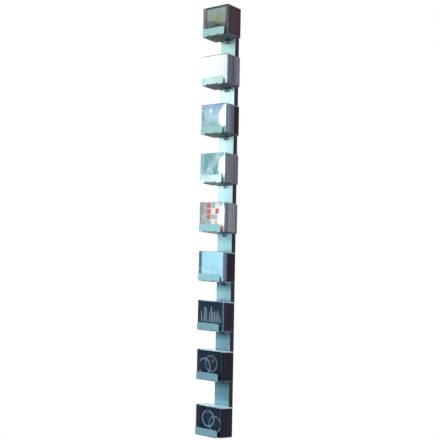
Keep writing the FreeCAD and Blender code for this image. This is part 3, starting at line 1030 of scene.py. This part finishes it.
def new_shape():
    shape = bmesh.new()
    shape.loops.layers.uv.new("print")
    shape.loops.layers.float_color.new("ink")
    return shape


def linked_edges(verts):
    return each_once(edge for vert in verts for edge in vert.link_edges)


def linked_faces(verts):
    return each_once(face for vert in verts for face in vert.link_faces)


def sharp_edges(edges, degrees):
    """Edges between two faces that meet at more than the given angle."""
    limit = math.radians(degrees)
    return [edge for edge in edges if edge.is_manifold and edge.calc_face_angle() > limit]


def round_edges(shape, edges, radius, segments=2, clamp=False):
    """Rounds edges and returns the vertices that this makes."""
    made = bmesh.ops.bevel(
        shape,
        geom=edges,
        offset=radius,
        segments=segments,
        profile=0.5,
        affect="EDGES",
        clamp_overlap=clamp,
    )
    return made["verts"]


def set_finish(faces, finish):
    for face in faces:
        face.material_index = finish


def add_block(shape, low, high, edge, finish=0):
    """Block between two corners, with its edges rounded."""
    low = Vector(low)
    high = Vector(high)
    size = high - low
    place = Matrix.Translation((low + high) / 2) @ Matrix.Diagonal((*size, 1.0))
    verts = bmesh.ops.create_cube(shape, size=1.0, matrix=place)["verts"]
    rounded = round_edges(shape, linked_edges(verts), min(edge, min(size) * 0.45))
    faces = linked_faces(rounded)
    set_finish(faces, finish)
    return faces


def finish_bands(shape, faces, foot, head, upper, lower):
    """Cuts closed faces at two heights; the bands below and above get finishes of their own."""
    for height in (foot, head):
        rims = each_once(rim for face in faces for rim in face.edges)
        verts = each_once(vert for face in faces for vert in face.verts)
        cut = bmesh.ops.bisect_plane(
            shape,
            geom=[*verts, *rims, *faces],
            plane_co=(0.0, 0.0, height),
            plane_no=(0.0, 0.0, 1.0),
        )
        faces = [part for part in cut["geom"] if isinstance(part, bmesh.types.BMFace)]
    set_finish([face for face in faces if face.calc_center_median().z > head], upper)
    set_finish([face for face in faces if face.calc_center_median().z < foot], lower)


def finish_ends(faces, upper, lower):
    """Other finishes for the faces that look mostly up and mostly down."""
    mostly = 0.6
    for face in faces:
        face.normal_update()
        if face.normal.z > mostly:
            face.material_index = upper
        elif face.normal.z < -mostly:
            face.material_index = lower


def add_prism(shape, outline, start, end):
    """Outline of (y, z) corners carried along X from start to end. Returns the vertices."""
    first = [shape.verts.new((start, y, z)) for y, z in outline]
    last = [shape.verts.new((end, y, z)) for y, z in outline]
    faces = [shape.faces.new(first), shape.faces.new(list(reversed(last)))]
    for step in range(len(outline)):
        after = (step + 1) % len(outline)
        faces.append(shape.faces.new((first[step], last[step], last[after], first[after])))
    bmesh.ops.recalc_face_normals(shape, faces=faces)
    return first + last


def is_flange_end(edge, back):
    """True for the short upright edges at the free corners of a lid's flanges."""
    longest = 2 * MM
    first, second = (vert.co for vert in edge.verts)
    upright = abs(first.x - second.x) < CLOSE and abs(first.y - second.y) < CLOSE
    return upright and abs(first.y - back) < CLOSE and abs(first.z - second.z) < longest


def add_lid(shape, low, high, sizes, upper, lower):
    """Clear lid in one piece: a front panel with a flange along its top and its bottom.

    The outer faces of the flanges get finishes of their own.
    """
    wall = sizes.case_wall
    inner = low.y + wall
    outline = [
        (low.y, low.z),
        (high.y, low.z),
        (high.y, low.z + wall),
        (inner, low.z + wall),
        (inner, high.z - wall),
        (high.y, high.z - wall),
        (high.y, high.z),
        (low.y, high.z),
    ]
    verts = add_prism(shape, outline, low.x, high.x)
    corners = [edge for edge in linked_edges(verts) if is_flange_end(edge, high.y)]
    made = round_edges(shape, corners, sizes.flange_corner, 4)
    verts = [vert for vert in verts if vert.is_valid] + made
    made = round_edges(shape, sharp_edges(linked_edges(verts), 40), sizes.case_edge)
    faces = linked_faces(made)
    set_finish(faces, 0)
    margin = 0.5 * wall
    finish_ends([face for face in faces if face.calc_center_median().z > high.z - margin], upper, 0)
    finish_ends([face for face in faces if face.calc_center_median().z < low.z + margin], 0, lower)


def lay_print(shape, faces, low, high):
    """Spreads a print over faces, from 0 to 1 across and up. A thin print lies on a side."""
    thin = 2 * MM
    layer = shape.loops.layers.uv["print"]
    across = 0 if high.x - low.x > thin else 1
    for face in faces:
        for loop in face.loops:
            place = loop.vert.co
            u = (place[across] - low[across]) / (high[across] - low[across])
            v = (place.z - low.z) / (high.z - low.z)
            loop[layer].uv = (u, v)


def finish_piece(shape, name, materials):
    """Object from a finished shape, smooth over its rounded edges and even over its flat faces."""
    mesh = bpy.data.meshes.new(name)
    shape.to_mesh(mesh)
    shape.free()
    for material in materials:
        mesh.materials.append(material)
    mesh.shade_smooth()
    mesh.set_sharp_from_angle(angle=math.radians(50))
    piece = bpy.data.objects.new(name, mesh)
    evened = piece.modifiers.new("even_normals", "WEIGHTED_NORMAL")
    evened.mode = "FACE_AREA"
    evened.weight = 100
    evened.keep_sharp = True
    bpy.context.scene.collection.objects.link(piece)
    return piece


def stand_for(piece, node, body):
    """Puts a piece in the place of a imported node."""
    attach(piece, body)
    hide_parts(node)


def eased_copy(node, edge, material, name):
    """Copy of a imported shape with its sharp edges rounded, as a maker breaks them."""
    shape = bmesh.new()
    shape.from_mesh(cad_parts[node].data)
    bmesh.ops.remove_doubles(shape, verts=shape.verts, dist=CLOSE)
    bmesh.ops.dissolve_limit(
        shape,
        angle_limit=math.radians(0.5),
        verts=shape.verts,
        edges=shape.edges,
    )
    round_edges(shape, sharp_edges(shape.edges, 45), edge, clamp=True)
    set_finish(shape.faces, 0)
    return finish_piece(shape, name, [material])


class CDRACK_OT_backboard(bpy.types.Operator):
    """Makes the stained board that lies on the wall"""

    bl_idname = "cd_rack.backboard"
    bl_label = "Backboard"

    def execute(self, context):
        sizes = context.scene.cd_rack_sizes
        board = eased_copy("backboard", sizes.board_edge, finish_of(board_wood), "stained_board")
        stand_for(board, "backboard", "rack")
        return {"FINISHED"}


class CDRACK_OT_face_strip(bpy.types.Operator):
    """Makes the metal strip on the board's face"""

    bl_idname = "cd_rack.face_strip"
    bl_label = "Face strip"

    def execute(self, context):
        sizes = context.scene.cd_rack_sizes
        strip = eased_copy("face_strip", sizes.metal_edge, finish_of(strip_metal), "metal_strip")
        stand_for(strip, "face_strip", "rack")
        return {"FINISHED"}


class CDRACK_OT_trays(bpy.types.Operator):
    """Makes the bent sheet-metal trays"""

    bl_idname = "cd_rack.trays"
    bl_label = "Trays"

    def execute(self, context):
        sizes = context.scene.cd_rack_sizes
        metal = finish_of(tray_metal)
        for number in TRAYS:
            tray = eased_copy(f"tray_{number}", sizes.metal_edge, metal, f"bent_tray_{number}")
            stand_for(tray, f"tray_{number}", "rack")
        return {"FINISHED"}


class CDRACK_OT_screws(bpy.types.Operator):
    """Gives the screws their steel"""

    bl_idname = "cd_rack.screws"
    bl_label = "Screws"

    def execute(self, context):
        steel = finish_of(turned_steel)
        for node in ("tray_screws", "strip_screws"):
            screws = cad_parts[node]
            for place in screws.material_slots:
                place.material = steel
        return {"FINISHED"}


def case_corners(number):
    """Lowest and highest corner of each stacked case in a row, from the front of the row."""
    row_low, row_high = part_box(f"case_stack_{number}")
    lid_low, lid_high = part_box(f"front_lid_{number}")
    base_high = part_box(f"front_base_{number}")[1]
    thickness = base_high.y - lid_low.y
    height = lid_high.z - lid_low.z
    count = int((row_high.y - row_low.y) / thickness)
    pitch = (row_high.y - row_low.y - thickness) / (count - 1)
    step = (row_high.z - row_low.z - height) / (count - 1)
    corners = []
    for place in range(count):
        front = row_low.y + place * pitch
        top = row_high.z - place * step
        low = Vector((row_low.x, front, top - height))
        high = Vector((row_high.x, front + thickness, top))
        corners.append((low, high))
    return corners


def label_ink(number, place):
    """Label colour of one case, from the tray's front and back label colours."""
    colours = bpy.context.scene.cd_rack_covers[number - 1]
    share = min(max(place + 1.5 - colours.front_labels, 0.0), 1.0)
    lightness = LABEL_SHADES[(place * 2 + number * 5) % len(LABEL_SHADES)]
    ink = Vector(colours.label_front[:3]).lerp(Vector(colours.label_back[:3]), share) * lightness
    return (*ink, 1.0)


def rim_front(high, sizes):
    """Depth at which the rim of a base starts, just behind the lid's flanges."""
    return high.y - sizes.case_ledge + sizes.lid_play


def add_base(shape, low, high, sizes, finishes):
    """Floor of a case's base, with a rim behind it that lies flush with the lid's flanges.

    The finishes are those of the plastic, and of its upper and lower edge.
    """
    plastic, upper, lower = finishes
    step = sizes.case_wall + sizes.lid_play
    left = low.x + step
    right = high.x - step
    floor_front = low.y + sizes.case_wall + sizes.booklet_room
    middle = rim_front(high, sizes)
    for block_low, block_high in (
        ((left, floor_front, low.z + step), (right, middle, high.z - step)),
        ((left, middle, low.z), (right, high.y, high.z)),
    ):
        block = add_block(shape, block_low, block_high, sizes.case_edge, plastic)
        finish_ends(block, upper, lower)


def add_sides(shape, low, high, sizes, finishes):
    """Both side walls of a case between two corners, each with an upper and a lower edge."""
    plastic, upper, lower = finishes
    foot = low.z + sizes.label_inset
    head = high.z - sizes.label_inset
    for outer, inward in ((low.x, 1.0), (high.x, -1.0)):
        face = outer + inward * sizes.label_depth
        inner = outer + inward * sizes.case_wall
        left, right = sorted((face, inner))
        wall = add_block(
            shape,
            (left, low.y, low.z),
            (right, high.y, high.z),
            sizes.case_edge,
            plastic,
        )
        finish_bands(shape, wall, foot, head, upper, lower)


def add_labels(shape, low, high, sizes, ink, finish):
    """Printed label on each side of a case."""
    layer = shape.loops.layers.float_color["ink"]
    for outer, inward in ((low.x, 1.0), (high.x, -1.0)):
        left, right = sorted((outer, outer + inward * sizes.label_depth))
        label_low = Vector((left, low.y + sizes.label_margin, low.z + sizes.label_inset))
        label_high = Vector((right, high.y - sizes.label_margin, high.z - sizes.label_inset))
        faces = add_block(shape, label_low, label_high, LABEL_EDGE, finish)
        lay_print(shape, faces, label_low, label_high)
        for face in faces:
            for loop in face.loops:
                loop[layer] = ink


class CDRACK_OT_case_rows(bpy.types.Operator):
    """Makes the row of closed cases behind each front case"""

    bl_idname = "cd_rack.case_rows"
    bl_label = "Case rows"

    def execute(self, context):
        sizes = context.scene.cd_rack_sizes
        case_plastic = context.scene.cd_rack_finish.case_plastic
        materials = [
            finish_of(lid_plastic),
            finish_of(moulded_plastic, "base_plastic", case_plastic),
            finish_of(label_print),
            finish_of(page_paper),
            finish_of(ridged_edge),
            finish_of(worn_edge_in_painted_shade),
        ]
        for number in TRAYS:
            shape = new_shape()
            for place, (low, high) in enumerate(case_corners(number)):
                self.add_case(shape, low, high, sizes, label_ink(number, place))
            row = finish_piece(shape, f"case_row_{number}", materials)
            stand_for(row, f"case_stack_{number}", f"case_group_{number}")
        return {"FINISHED"}

    def add_case(self, shape, low, high, sizes, ink):
        """Closed case whose side walls run its whole depth, with the lid between them."""
        plastic, label, page, upper, lower = range(1, 6)
        side = Vector((sizes.case_wall + sizes.lid_play, 0.0, 0.0))
        depth = Vector((0.0, sizes.case_ledge, 0.0))
        add_lid(shape, low + side, high - side - depth, sizes, upper, lower)
        add_base(shape, low, high, sizes, (plastic, upper, lower))
        behind_lid = low + Vector((0.0, SIDE_SETBACK, 0.0))
        add_sides(shape, behind_lid, high, sizes, (plastic, upper, lower))
        add_labels(shape, behind_lid, high, sizes, ink, label)
        inner = low.y + sizes.case_wall
        front = inner + sizes.booklet_play
        booklet_low = (low.x + BOOKLET_LEFT, front, low.z + BOOKLET_ENDS)
        booklet_high = (high.x - BOOKLET_RIGHT, inner + BOOKLET_DEPTH, high.z - BOOKLET_ENDS)
        add_block(shape, booklet_low, booklet_high, BOOKLET_EDGE, page)


class CDRACK_OT_front_lids(bpy.types.Operator):
    """Makes the clear lid of each front case"""

    bl_idname = "cd_rack.front_lids"
    bl_label = "Front lids"

    def execute(self, context):
        sizes = context.scene.cd_rack_sizes
        materials = [finish_of(lid_plastic), finish_of(ridged_edge), finish_of(worn_edge_in_painted_shade)]
        for number in TRAYS:
            low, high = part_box(f"front_lid_{number}")
            shape = new_shape()
            add_lid(shape, low, high, sizes, 1, 2)
            lid = finish_piece(shape, f"clear_lid_{number}", materials)
            stand_for(lid, f"front_lid_{number}", f"front_case_{number}")
        return {"FINISHED"}


class CDRACK_OT_booklets(bpy.types.Operator):
    """Makes the printed booklet behind each clear lid"""

    bl_idname = "cd_rack.booklets"
    bl_label = "Booklets"

    def execute(self, context):
        sizes = context.scene.cd_rack_sizes
        for number in TRAYS:
            low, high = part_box(f"cover_card_{number}")
            shape = new_shape()
            self.add_cover(shape, low, high, sizes.paper)
            self.add_pages(shape, low, high, sizes.paper)
            cover = finish_of(printed_cover, f"printed_cover_{number}", number)
            booklet = finish_piece(shape, f"booklet_{number}", [cover, finish_of(page_paper)])
            stand_for(booklet, f"cover_card_{number}", f"front_case_{number}")
        return {"FINISHED"}

    def add_cover(self, shape, low, high, paper):
        """Cover sheet, folded round the pages along the hinge side."""
        turns = 8
        radius = (high.y - low.y) / 2
        fold = low.x + radius
        middle = (low.y + high.y) / 2
        outer = [(high.x, low.y)]
        inner = [(high.x, low.y + paper)]
        for turn in range(turns + 1):
            angle = math.pi * (0.5 + turn / turns)
            for side, reach in ((outer, radius), (inner, radius - paper)):
                side.append((fold + reach * math.cos(angle), middle - reach * math.sin(angle)))
        outer.append((high.x, high.y))
        inner.append((high.x, high.y - paper))
        ring = outer + list(reversed(inner))
        bottom = [shape.verts.new((x, y, low.z)) for x, y in ring]
        top = [shape.verts.new((x, y, high.z)) for x, y in ring]
        faces = []
        for step in range(len(ring)):
            after = (step + 1) % len(ring)
            faces.append(shape.faces.new((bottom[step], bottom[after], top[after], top[step])))
        for row in (bottom, top):
            for step in range(len(outer) - 1):
                across = len(ring) - 1 - step
                faces.append(shape.faces.new((row[step], row[step + 1], row[across - 1], row[across])))
        bmesh.ops.recalc_face_normals(shape, faces=faces)
        lay_print(shape, faces, low, high)

    def add_pages(self, shape, low, high, paper):
        """Inner pages, each a little narrower than the one in front of it."""
        pitch = (high.y - low.y - 2 * paper) / PAGES
        gap = 0.1 * pitch
        for number in range(PAGES):
            front = low.y + paper + number * pitch + gap
            right = high.x - PAGE_SHORTER - PAGE_STEP * number
            page_low = (low.x + PAGE_FOLD, front, low.z + PAGE_ENDS)
            page_high = (right, front + pitch - 2 * gap, high.z - PAGE_ENDS)
            add_block(shape, page_low, page_high, PAGE_EDGE, 1)


class CDRACK_OT_front_bases(bpy.types.Operator):
    """Makes the rear half of each front case, with ribs beside the booklet"""

    bl_idname = "cd_rack.front_bases"
    bl_label = "Front bases"

    def execute(self, context):
        sizes = context.scene.cd_rack_sizes
        plastic, label, upper, lower = range(4)
        finishes = (plastic, upper, lower)
        edges = [finish_of(label_print), finish_of(ridged_edge), finish_of(worn_edge_in_painted_shade)]
        for number in TRAYS:
            colours = context.scene.cd_rack_covers[number - 1]
            material = finish_of(moulded_plastic, f"tray_plastic_{number}", colours.tray_plastic)
            low, lid_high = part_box(f"front_lid_{number}")
            base_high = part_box(f"front_base_{number}")[1]
            high = Vector((lid_high.x, base_high.y, lid_high.z))
            shape = new_shape()
            add_base(shape, low, high, sizes, finishes)
            self.add_stepped_sides(shape, low, high, sizes, finishes)
            self.add_edge_bars(shape, number, low, high, sizes, (upper, lower))
            ink = (*colours.label_front[:3], 1.0)
            setback = Vector((0.0, sizes.case_wall + sizes.lid_play, 0.0))
            add_labels(shape, low + setback, high, sizes, ink, label)
            self.add_ribbed_strip(shape, number, low, high, sizes)
            base = finish_piece(shape, f"ribbed_base_{number}", [material, *edges])
            stand_for(base, f"front_base_{number}", f"front_case_{number}")
        return {"FINISHED"}

    def floor_face(self, low, sizes):
        """Depth at which what stands on a base's floor ends, with a hair's gap to the floor."""
        return low.y + sizes.case_wall + sizes.booklet_room - FLOOR_GAP

    def add_edge_bars(self, shape, number, low, high, sizes, finishes):
        """Bars above and below the booklet, which keep it from sliding."""
        upper, lower = finishes
        card_low, card_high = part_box(f"cover_card_{number}")
        wall = sizes.case_wall + sizes.lid_play
        front = low.y + wall
        back = self.floor_face(low, sizes)
        right = high.x - wall
        for bottom, top, finish in (
            (low.z + wall, card_low.z - sizes.booklet_play, lower),
            (card_high.z + sizes.booklet_play, high.z - wall, upper),
        ):
            bar_low = (card_low.x, front, bottom)
            add_block(shape, bar_low, (right, back, top), sizes.case_edge, finish)

    def add_stepped_sides(self, shape, low, high, sizes, finishes):
        """Side walls that stand behind the lid's panel, between its flanges, then rise to the rim."""
        step = sizes.case_wall + sizes.lid_play
        middle = rim_front(high, sizes)
        lower_low = Vector((low.x, low.y + step, low.z + step))
        lower_high = Vector((high.x, middle, high.z - step))
        add_sides(shape, lower_low, lower_high, sizes, finishes)
        add_sides(shape, Vector((low.x, middle, low.z)), high, sizes, finishes)

    def add_ribbed_strip(self, shape, number, low, high, sizes):
        """Upright ribs on a plate between the hinge side and the booklet."""
        card_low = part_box(f"cover_card_{number}")[0]
        inner = low.y + sizes.case_wall
        left = low.x + sizes.case_wall + PLATE_LEFT
        right = card_low.x - PLATE_RIGHT
        foot = low.z + sizes.case_wall + sizes.lid_play
        head = high.z - sizes.case_wall - sizes.lid_play
        plate_low = (left, inner + PLATE_SETBACK, foot)
        add_block(shape, plate_low, (right, self.floor_face(low, sizes), head), sizes.case_edge)
        front = inner + RIB_SETBACK
        half_rib = 0.3 * sizes.rib_pitch
        rib = left + sizes.rib_pitch
        while rib < right - sizes.rib_pitch:
            rib_low = (rib - half_rib, front, foot + RIB_END)
            rib_high = (rib + half_rib, front + RIB_DEPTH, head - RIB_END)
            add_block(shape, rib_low, rib_high, RIB_EDGE)
            rib += sizes.rib_pitch


class CDRACK_OT_stage(bpy.types.Operator):
    """Makes the floor, the white surroundings, the lamps and the camera"""

    bl_idname = "cd_rack.stage"
    bl_label = "Stage"

    def execute(self, context):
        stage = context.scene.cd_rack_stage
        context.scene.view_settings.view_transform = "Standard"
        self.make_world(context.scene, stage)
        self.make_floor(stage)
        self.make_lamps(stage)
        self.make_lid_gleams(stage)
        self.make_metal_gleams(stage)
        self.make_camera(context.scene, stage)
        return {"FINISHED"}

    def make_world(self, scene, stage):
        """White to the eye and in reflections, and a softer even light on the rack."""
        world = bpy.data.worlds.new("white_surroundings")
        world.use_nodes = True
        world.node_tree.nodes.clear()
        bench = NodeBench(world.node_tree)
        backdrop = bench.add("ShaderNodeBackground", {"Color": WHITE, "Strength": 1.0})
        fill_feeds = {"Color": (0.93, 0.98, 1.0, 1.0), "Strength": stage.fill}
        fill = bench.add("ShaderNodeBackground", fill_feeds)
        both = bench.mix_shaders(bench.seen_directly(), fill.outputs[0], backdrop.outputs[0])
        bench.add("ShaderNodeOutputWorld", {"Surface": both})
        scene.world = world

    def make_floor(self, stage):
        """Round pale floor below the rack."""
        shape = bmesh.new()
        height = CAD_LOW.z - stage.floor_drop
        bmesh.ops.create_circle(
            shape,
            cap_ends=True,
            segments=96,
            radius=stage.floor_radius,
            matrix=Matrix.Translation((0.0, 0.0, height)),
        )
        material = finish_of(self.floor_finish, "pale_floor", stage.floor_radius)
        floor = finish_piece(shape, "floor", [material])

    def floor_finish(self, name, radius):
        """Pale, melts into the white towards its rim, and is open from below."""
        bench = FinishBench(name)
        grain = bench.noise(bench.place, 120.0, 3.0)
        roughness = bench.ease(grain, 0.2, 0.8, 0.6, 0.75)
        bench.dress({"Base Color": (0.82, 0.83, 0.83, 1.0), "Roughness": roughness})
        reach = bench.vector_math("LENGTH", bench.stretch(bench.place, (1.0, 1.0, 0.0)))
        rim = bench.ease(reach, radius * 0.35, radius * 0.95)
        glow = bench.add("ShaderNodeEmission", {"Color": WHITE, "Strength": 1.0}).outputs[0]
        melted = bench.mix_shaders(bench.times(rim, bench.seen_directly()), bench.surface, glow)
        open_way = bench.add("ShaderNodeBsdfTransparent").outputs[0]
        from_below = bench.add("ShaderNodeNewGeometry").outputs["Backfacing"]
        bench.show(bench.mix_shaders(from_below, melted, open_way))

    def make_lamps(self, stage):
        for name, place, power, size in (
            ("key_lamp", stage.key_place, stage.key_power, stage.key_size),
            ("side_lamp", stage.side_place, stage.side_power, stage.side_size),
        ):
            self.make_lamp(name, place, RACK_MIDDLE, power, size, "RECTANGLE")

    def make_lid_gleams(self, stage):
        """Lamps that the lids mirror towards the camera."""
        for number in GLEAMING_TRAYS:
            low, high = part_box(f"front_lid_{number}")
            for name, (across, up, size, strength) in LID_GLEAMS.items():
                x = low.x + across * (high.x - low.x)
                z = low.z + up * (high.z - low.z)
                spot = Vector((x, low.y, z))
                lid = f"clear_lid_{number}"
                gleam = self.make_gleam(f"{name}_gleam_{number}", stage, spot, size, strength, lid)
                gleam.light_linking.blocker_collection = gleam.light_linking.receiver_collection

    def make_metal_gleams(self, stage):
        """Lamps that the strip and the lips mirror towards the camera."""
        gleams = []
        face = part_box("face_strip")[0].y
        for number, (height, length, strength) in enumerate(STRIP_GLEAMS):
            spot = Vector((0.0, face, height))
            gleams.append((f"strip_gleam_{number}", spot, length, strength, "metal_strip"))
        for number, strength in LIP_GLEAMS:
            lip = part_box(f"tray_{number}")[0]
            spot = Vector((0.0, lip.y, lip.z + LIP_RISE))
            gleams.append((f"lip_gleam_{number}", spot, GLEAM_WIDTH, strength, f"bent_tray_{number}"))
        for name, spot, length, strength, piece in gleams:
            gleam = self.make_gleam(name, stage, spot, (GLEAM_WIDTH, length), strength, piece)
            gleam.data.color = METAL_GLEAM

    def make_gleam(self, name, stage, spot, size, strength, piece):
        """Lamp that the camera sees mirrored at a spot on a piece, which is all that it lights."""
        eye = Vector(stage.camera_place)
        mirrored_eye = Vector((eye.x, 2 * spot.y - eye.y, eye.z))
        away = (spot - mirrored_eye).normalized()
        place = spot + away * stage.gleam_reach
        lamp = self.make_lamp(name, place, spot, stage.gleam_power * strength, size, "ELLIPSE")
        lit = bpy.data.collections.new(f"{name}_pieces")
        lit.objects.link(bpy.data.objects[piece])
        lamp.light_linking.receiver_collection = lit
        return lamp

    def make_lamp(self, name, place, aim, power, size, shape):
        lamp = bpy.data.lights.new(name, "AREA")
        lamp.shape = shape
        lamp.size, lamp.size_y = size
        lamp.energy = power
        lamp_object = bpy.data.objects.new(name, lamp)
        lamp_object.location = place
        direction = Vector(aim) - Vector(place)
        lamp_object.rotation_euler = direction.to_track_quat("-Z", "Y").to_euler()
        bpy.context.scene.collection.objects.link(lamp_object)
        return lamp_object

    def make_camera(self, scene, stage):
        """Camera at the photograph's place. The image is square."""
        data = bpy.data.cameras.new("camera")
        data.sensor_width = SENSOR_WIDTH
        data.lens = stage.lens
        camera = bpy.data.objects.new("camera", data)
        turn, tilt, roll = stage.camera_turn
        level = Vector((-math.sin(turn), math.cos(turn), 0.0))
        ahead = level * math.cos(tilt) + Vector((0.0, 0.0, math.sin(tilt)))
        right = Vector((math.cos(turn), math.sin(turn), 0.0))
        up = right.cross(ahead)
        rolled_right = math.cos(roll) * right + math.sin(roll) * up
        rolled_up = math.cos(roll) * up - math.sin(roll) * right
        axes = Matrix((rolled_right, rolled_up, -ahead)).transposed().to_4x4()
        camera.matrix_world = Matrix.Translation(stage.camera_place) @ axes
        scene.collection.objects.link(camera)
        scene.camera = camera


OPERATORS = (
    CDRACK_OT_backboard,
    CDRACK_OT_face_strip,
    CDRACK_OT_trays,
    CDRACK_OT_screws,
    CDRACK_OT_case_rows,
    CDRACK_OT_front_bases,
    CDRACK_OT_booklets,
    CDRACK_OT_front_lids,
    CDRACK_OT_stage,
)
PROPERTY_GROUPS = (CdRackSizes, CdRackFinish, CdRackCover, CdRackStage)


class CDRACK_PT_panel(bpy.types.Panel):
    """Lists the steps that dress the rack"""

    bl_idname = "CDRACK_PT_panel"
    bl_label = "CD Rack"
    bl_space_type = "VIEW_3D"
    bl_region_type = "UI"
    bl_category = "CD Rack"

    def draw(self, context):
        for operator in OPERATORS:
            self.layout.operator(operator.bl_idname)


def register():
    for kind in (*PROPERTY_GROUPS, *OPERATORS, CDRACK_PT_panel):
        bpy.utils.register_class(kind)
    bpy.types.Scene.cd_rack_sizes = bpy.props.PointerProperty(type=CdRackSizes)
    bpy.types.Scene.cd_rack_finish = bpy.props.PointerProperty(type=CdRackFinish)
    bpy.types.Scene.cd_rack_stage = bpy.props.PointerProperty(type=CdRackStage)
    bpy.types.Scene.cd_rack_covers = bpy.props.CollectionProperty(type=CdRackCover)


def unregister():
    del bpy.types.Scene.cd_rack_covers
    del bpy.types.Scene.cd_rack_stage
    del bpy.types.Scene.cd_rack_finish
    del bpy.types.Scene.cd_rack_sizes
    for kind in reversed((*PROPERTY_GROUPS, *OPERATORS, CDRACK_PT_panel)):
        bpy.utils.unregister_class(kind)


def fill_covers(scene):
    """Gives every tray its row of cover colours."""
    scene.cd_rack_covers.clear()
    for number in TRAYS:
        row = COVER_COLOURS[(number - 1) % len(COVER_COLOURS)]
        cover = scene.cd_rack_covers.add()
        for field, screen_colour in zip(COLOUR_FIELDS, row):
            setattr(cover, field, shade(screen_colour))
        cover.front_labels = FRONT_LABELS[(number - 1) % len(FRONT_LABELS)]


def main():
    register()
    fill_covers(bpy.context.scene)
    bpy.ops.cd_rack.backboard()
    bpy.ops.cd_rack.face_strip()
    bpy.ops.cd_rack.trays()
    bpy.ops.cd_rack.screws()
    bpy.ops.cd_rack.case_rows()
    bpy.ops.cd_rack.front_bases()
    bpy.ops.cd_rack.booklets()
    bpy.ops.cd_rack.front_lids()
    bpy.ops.cd_rack.stage()


if __name__ == "__main__":
    main()
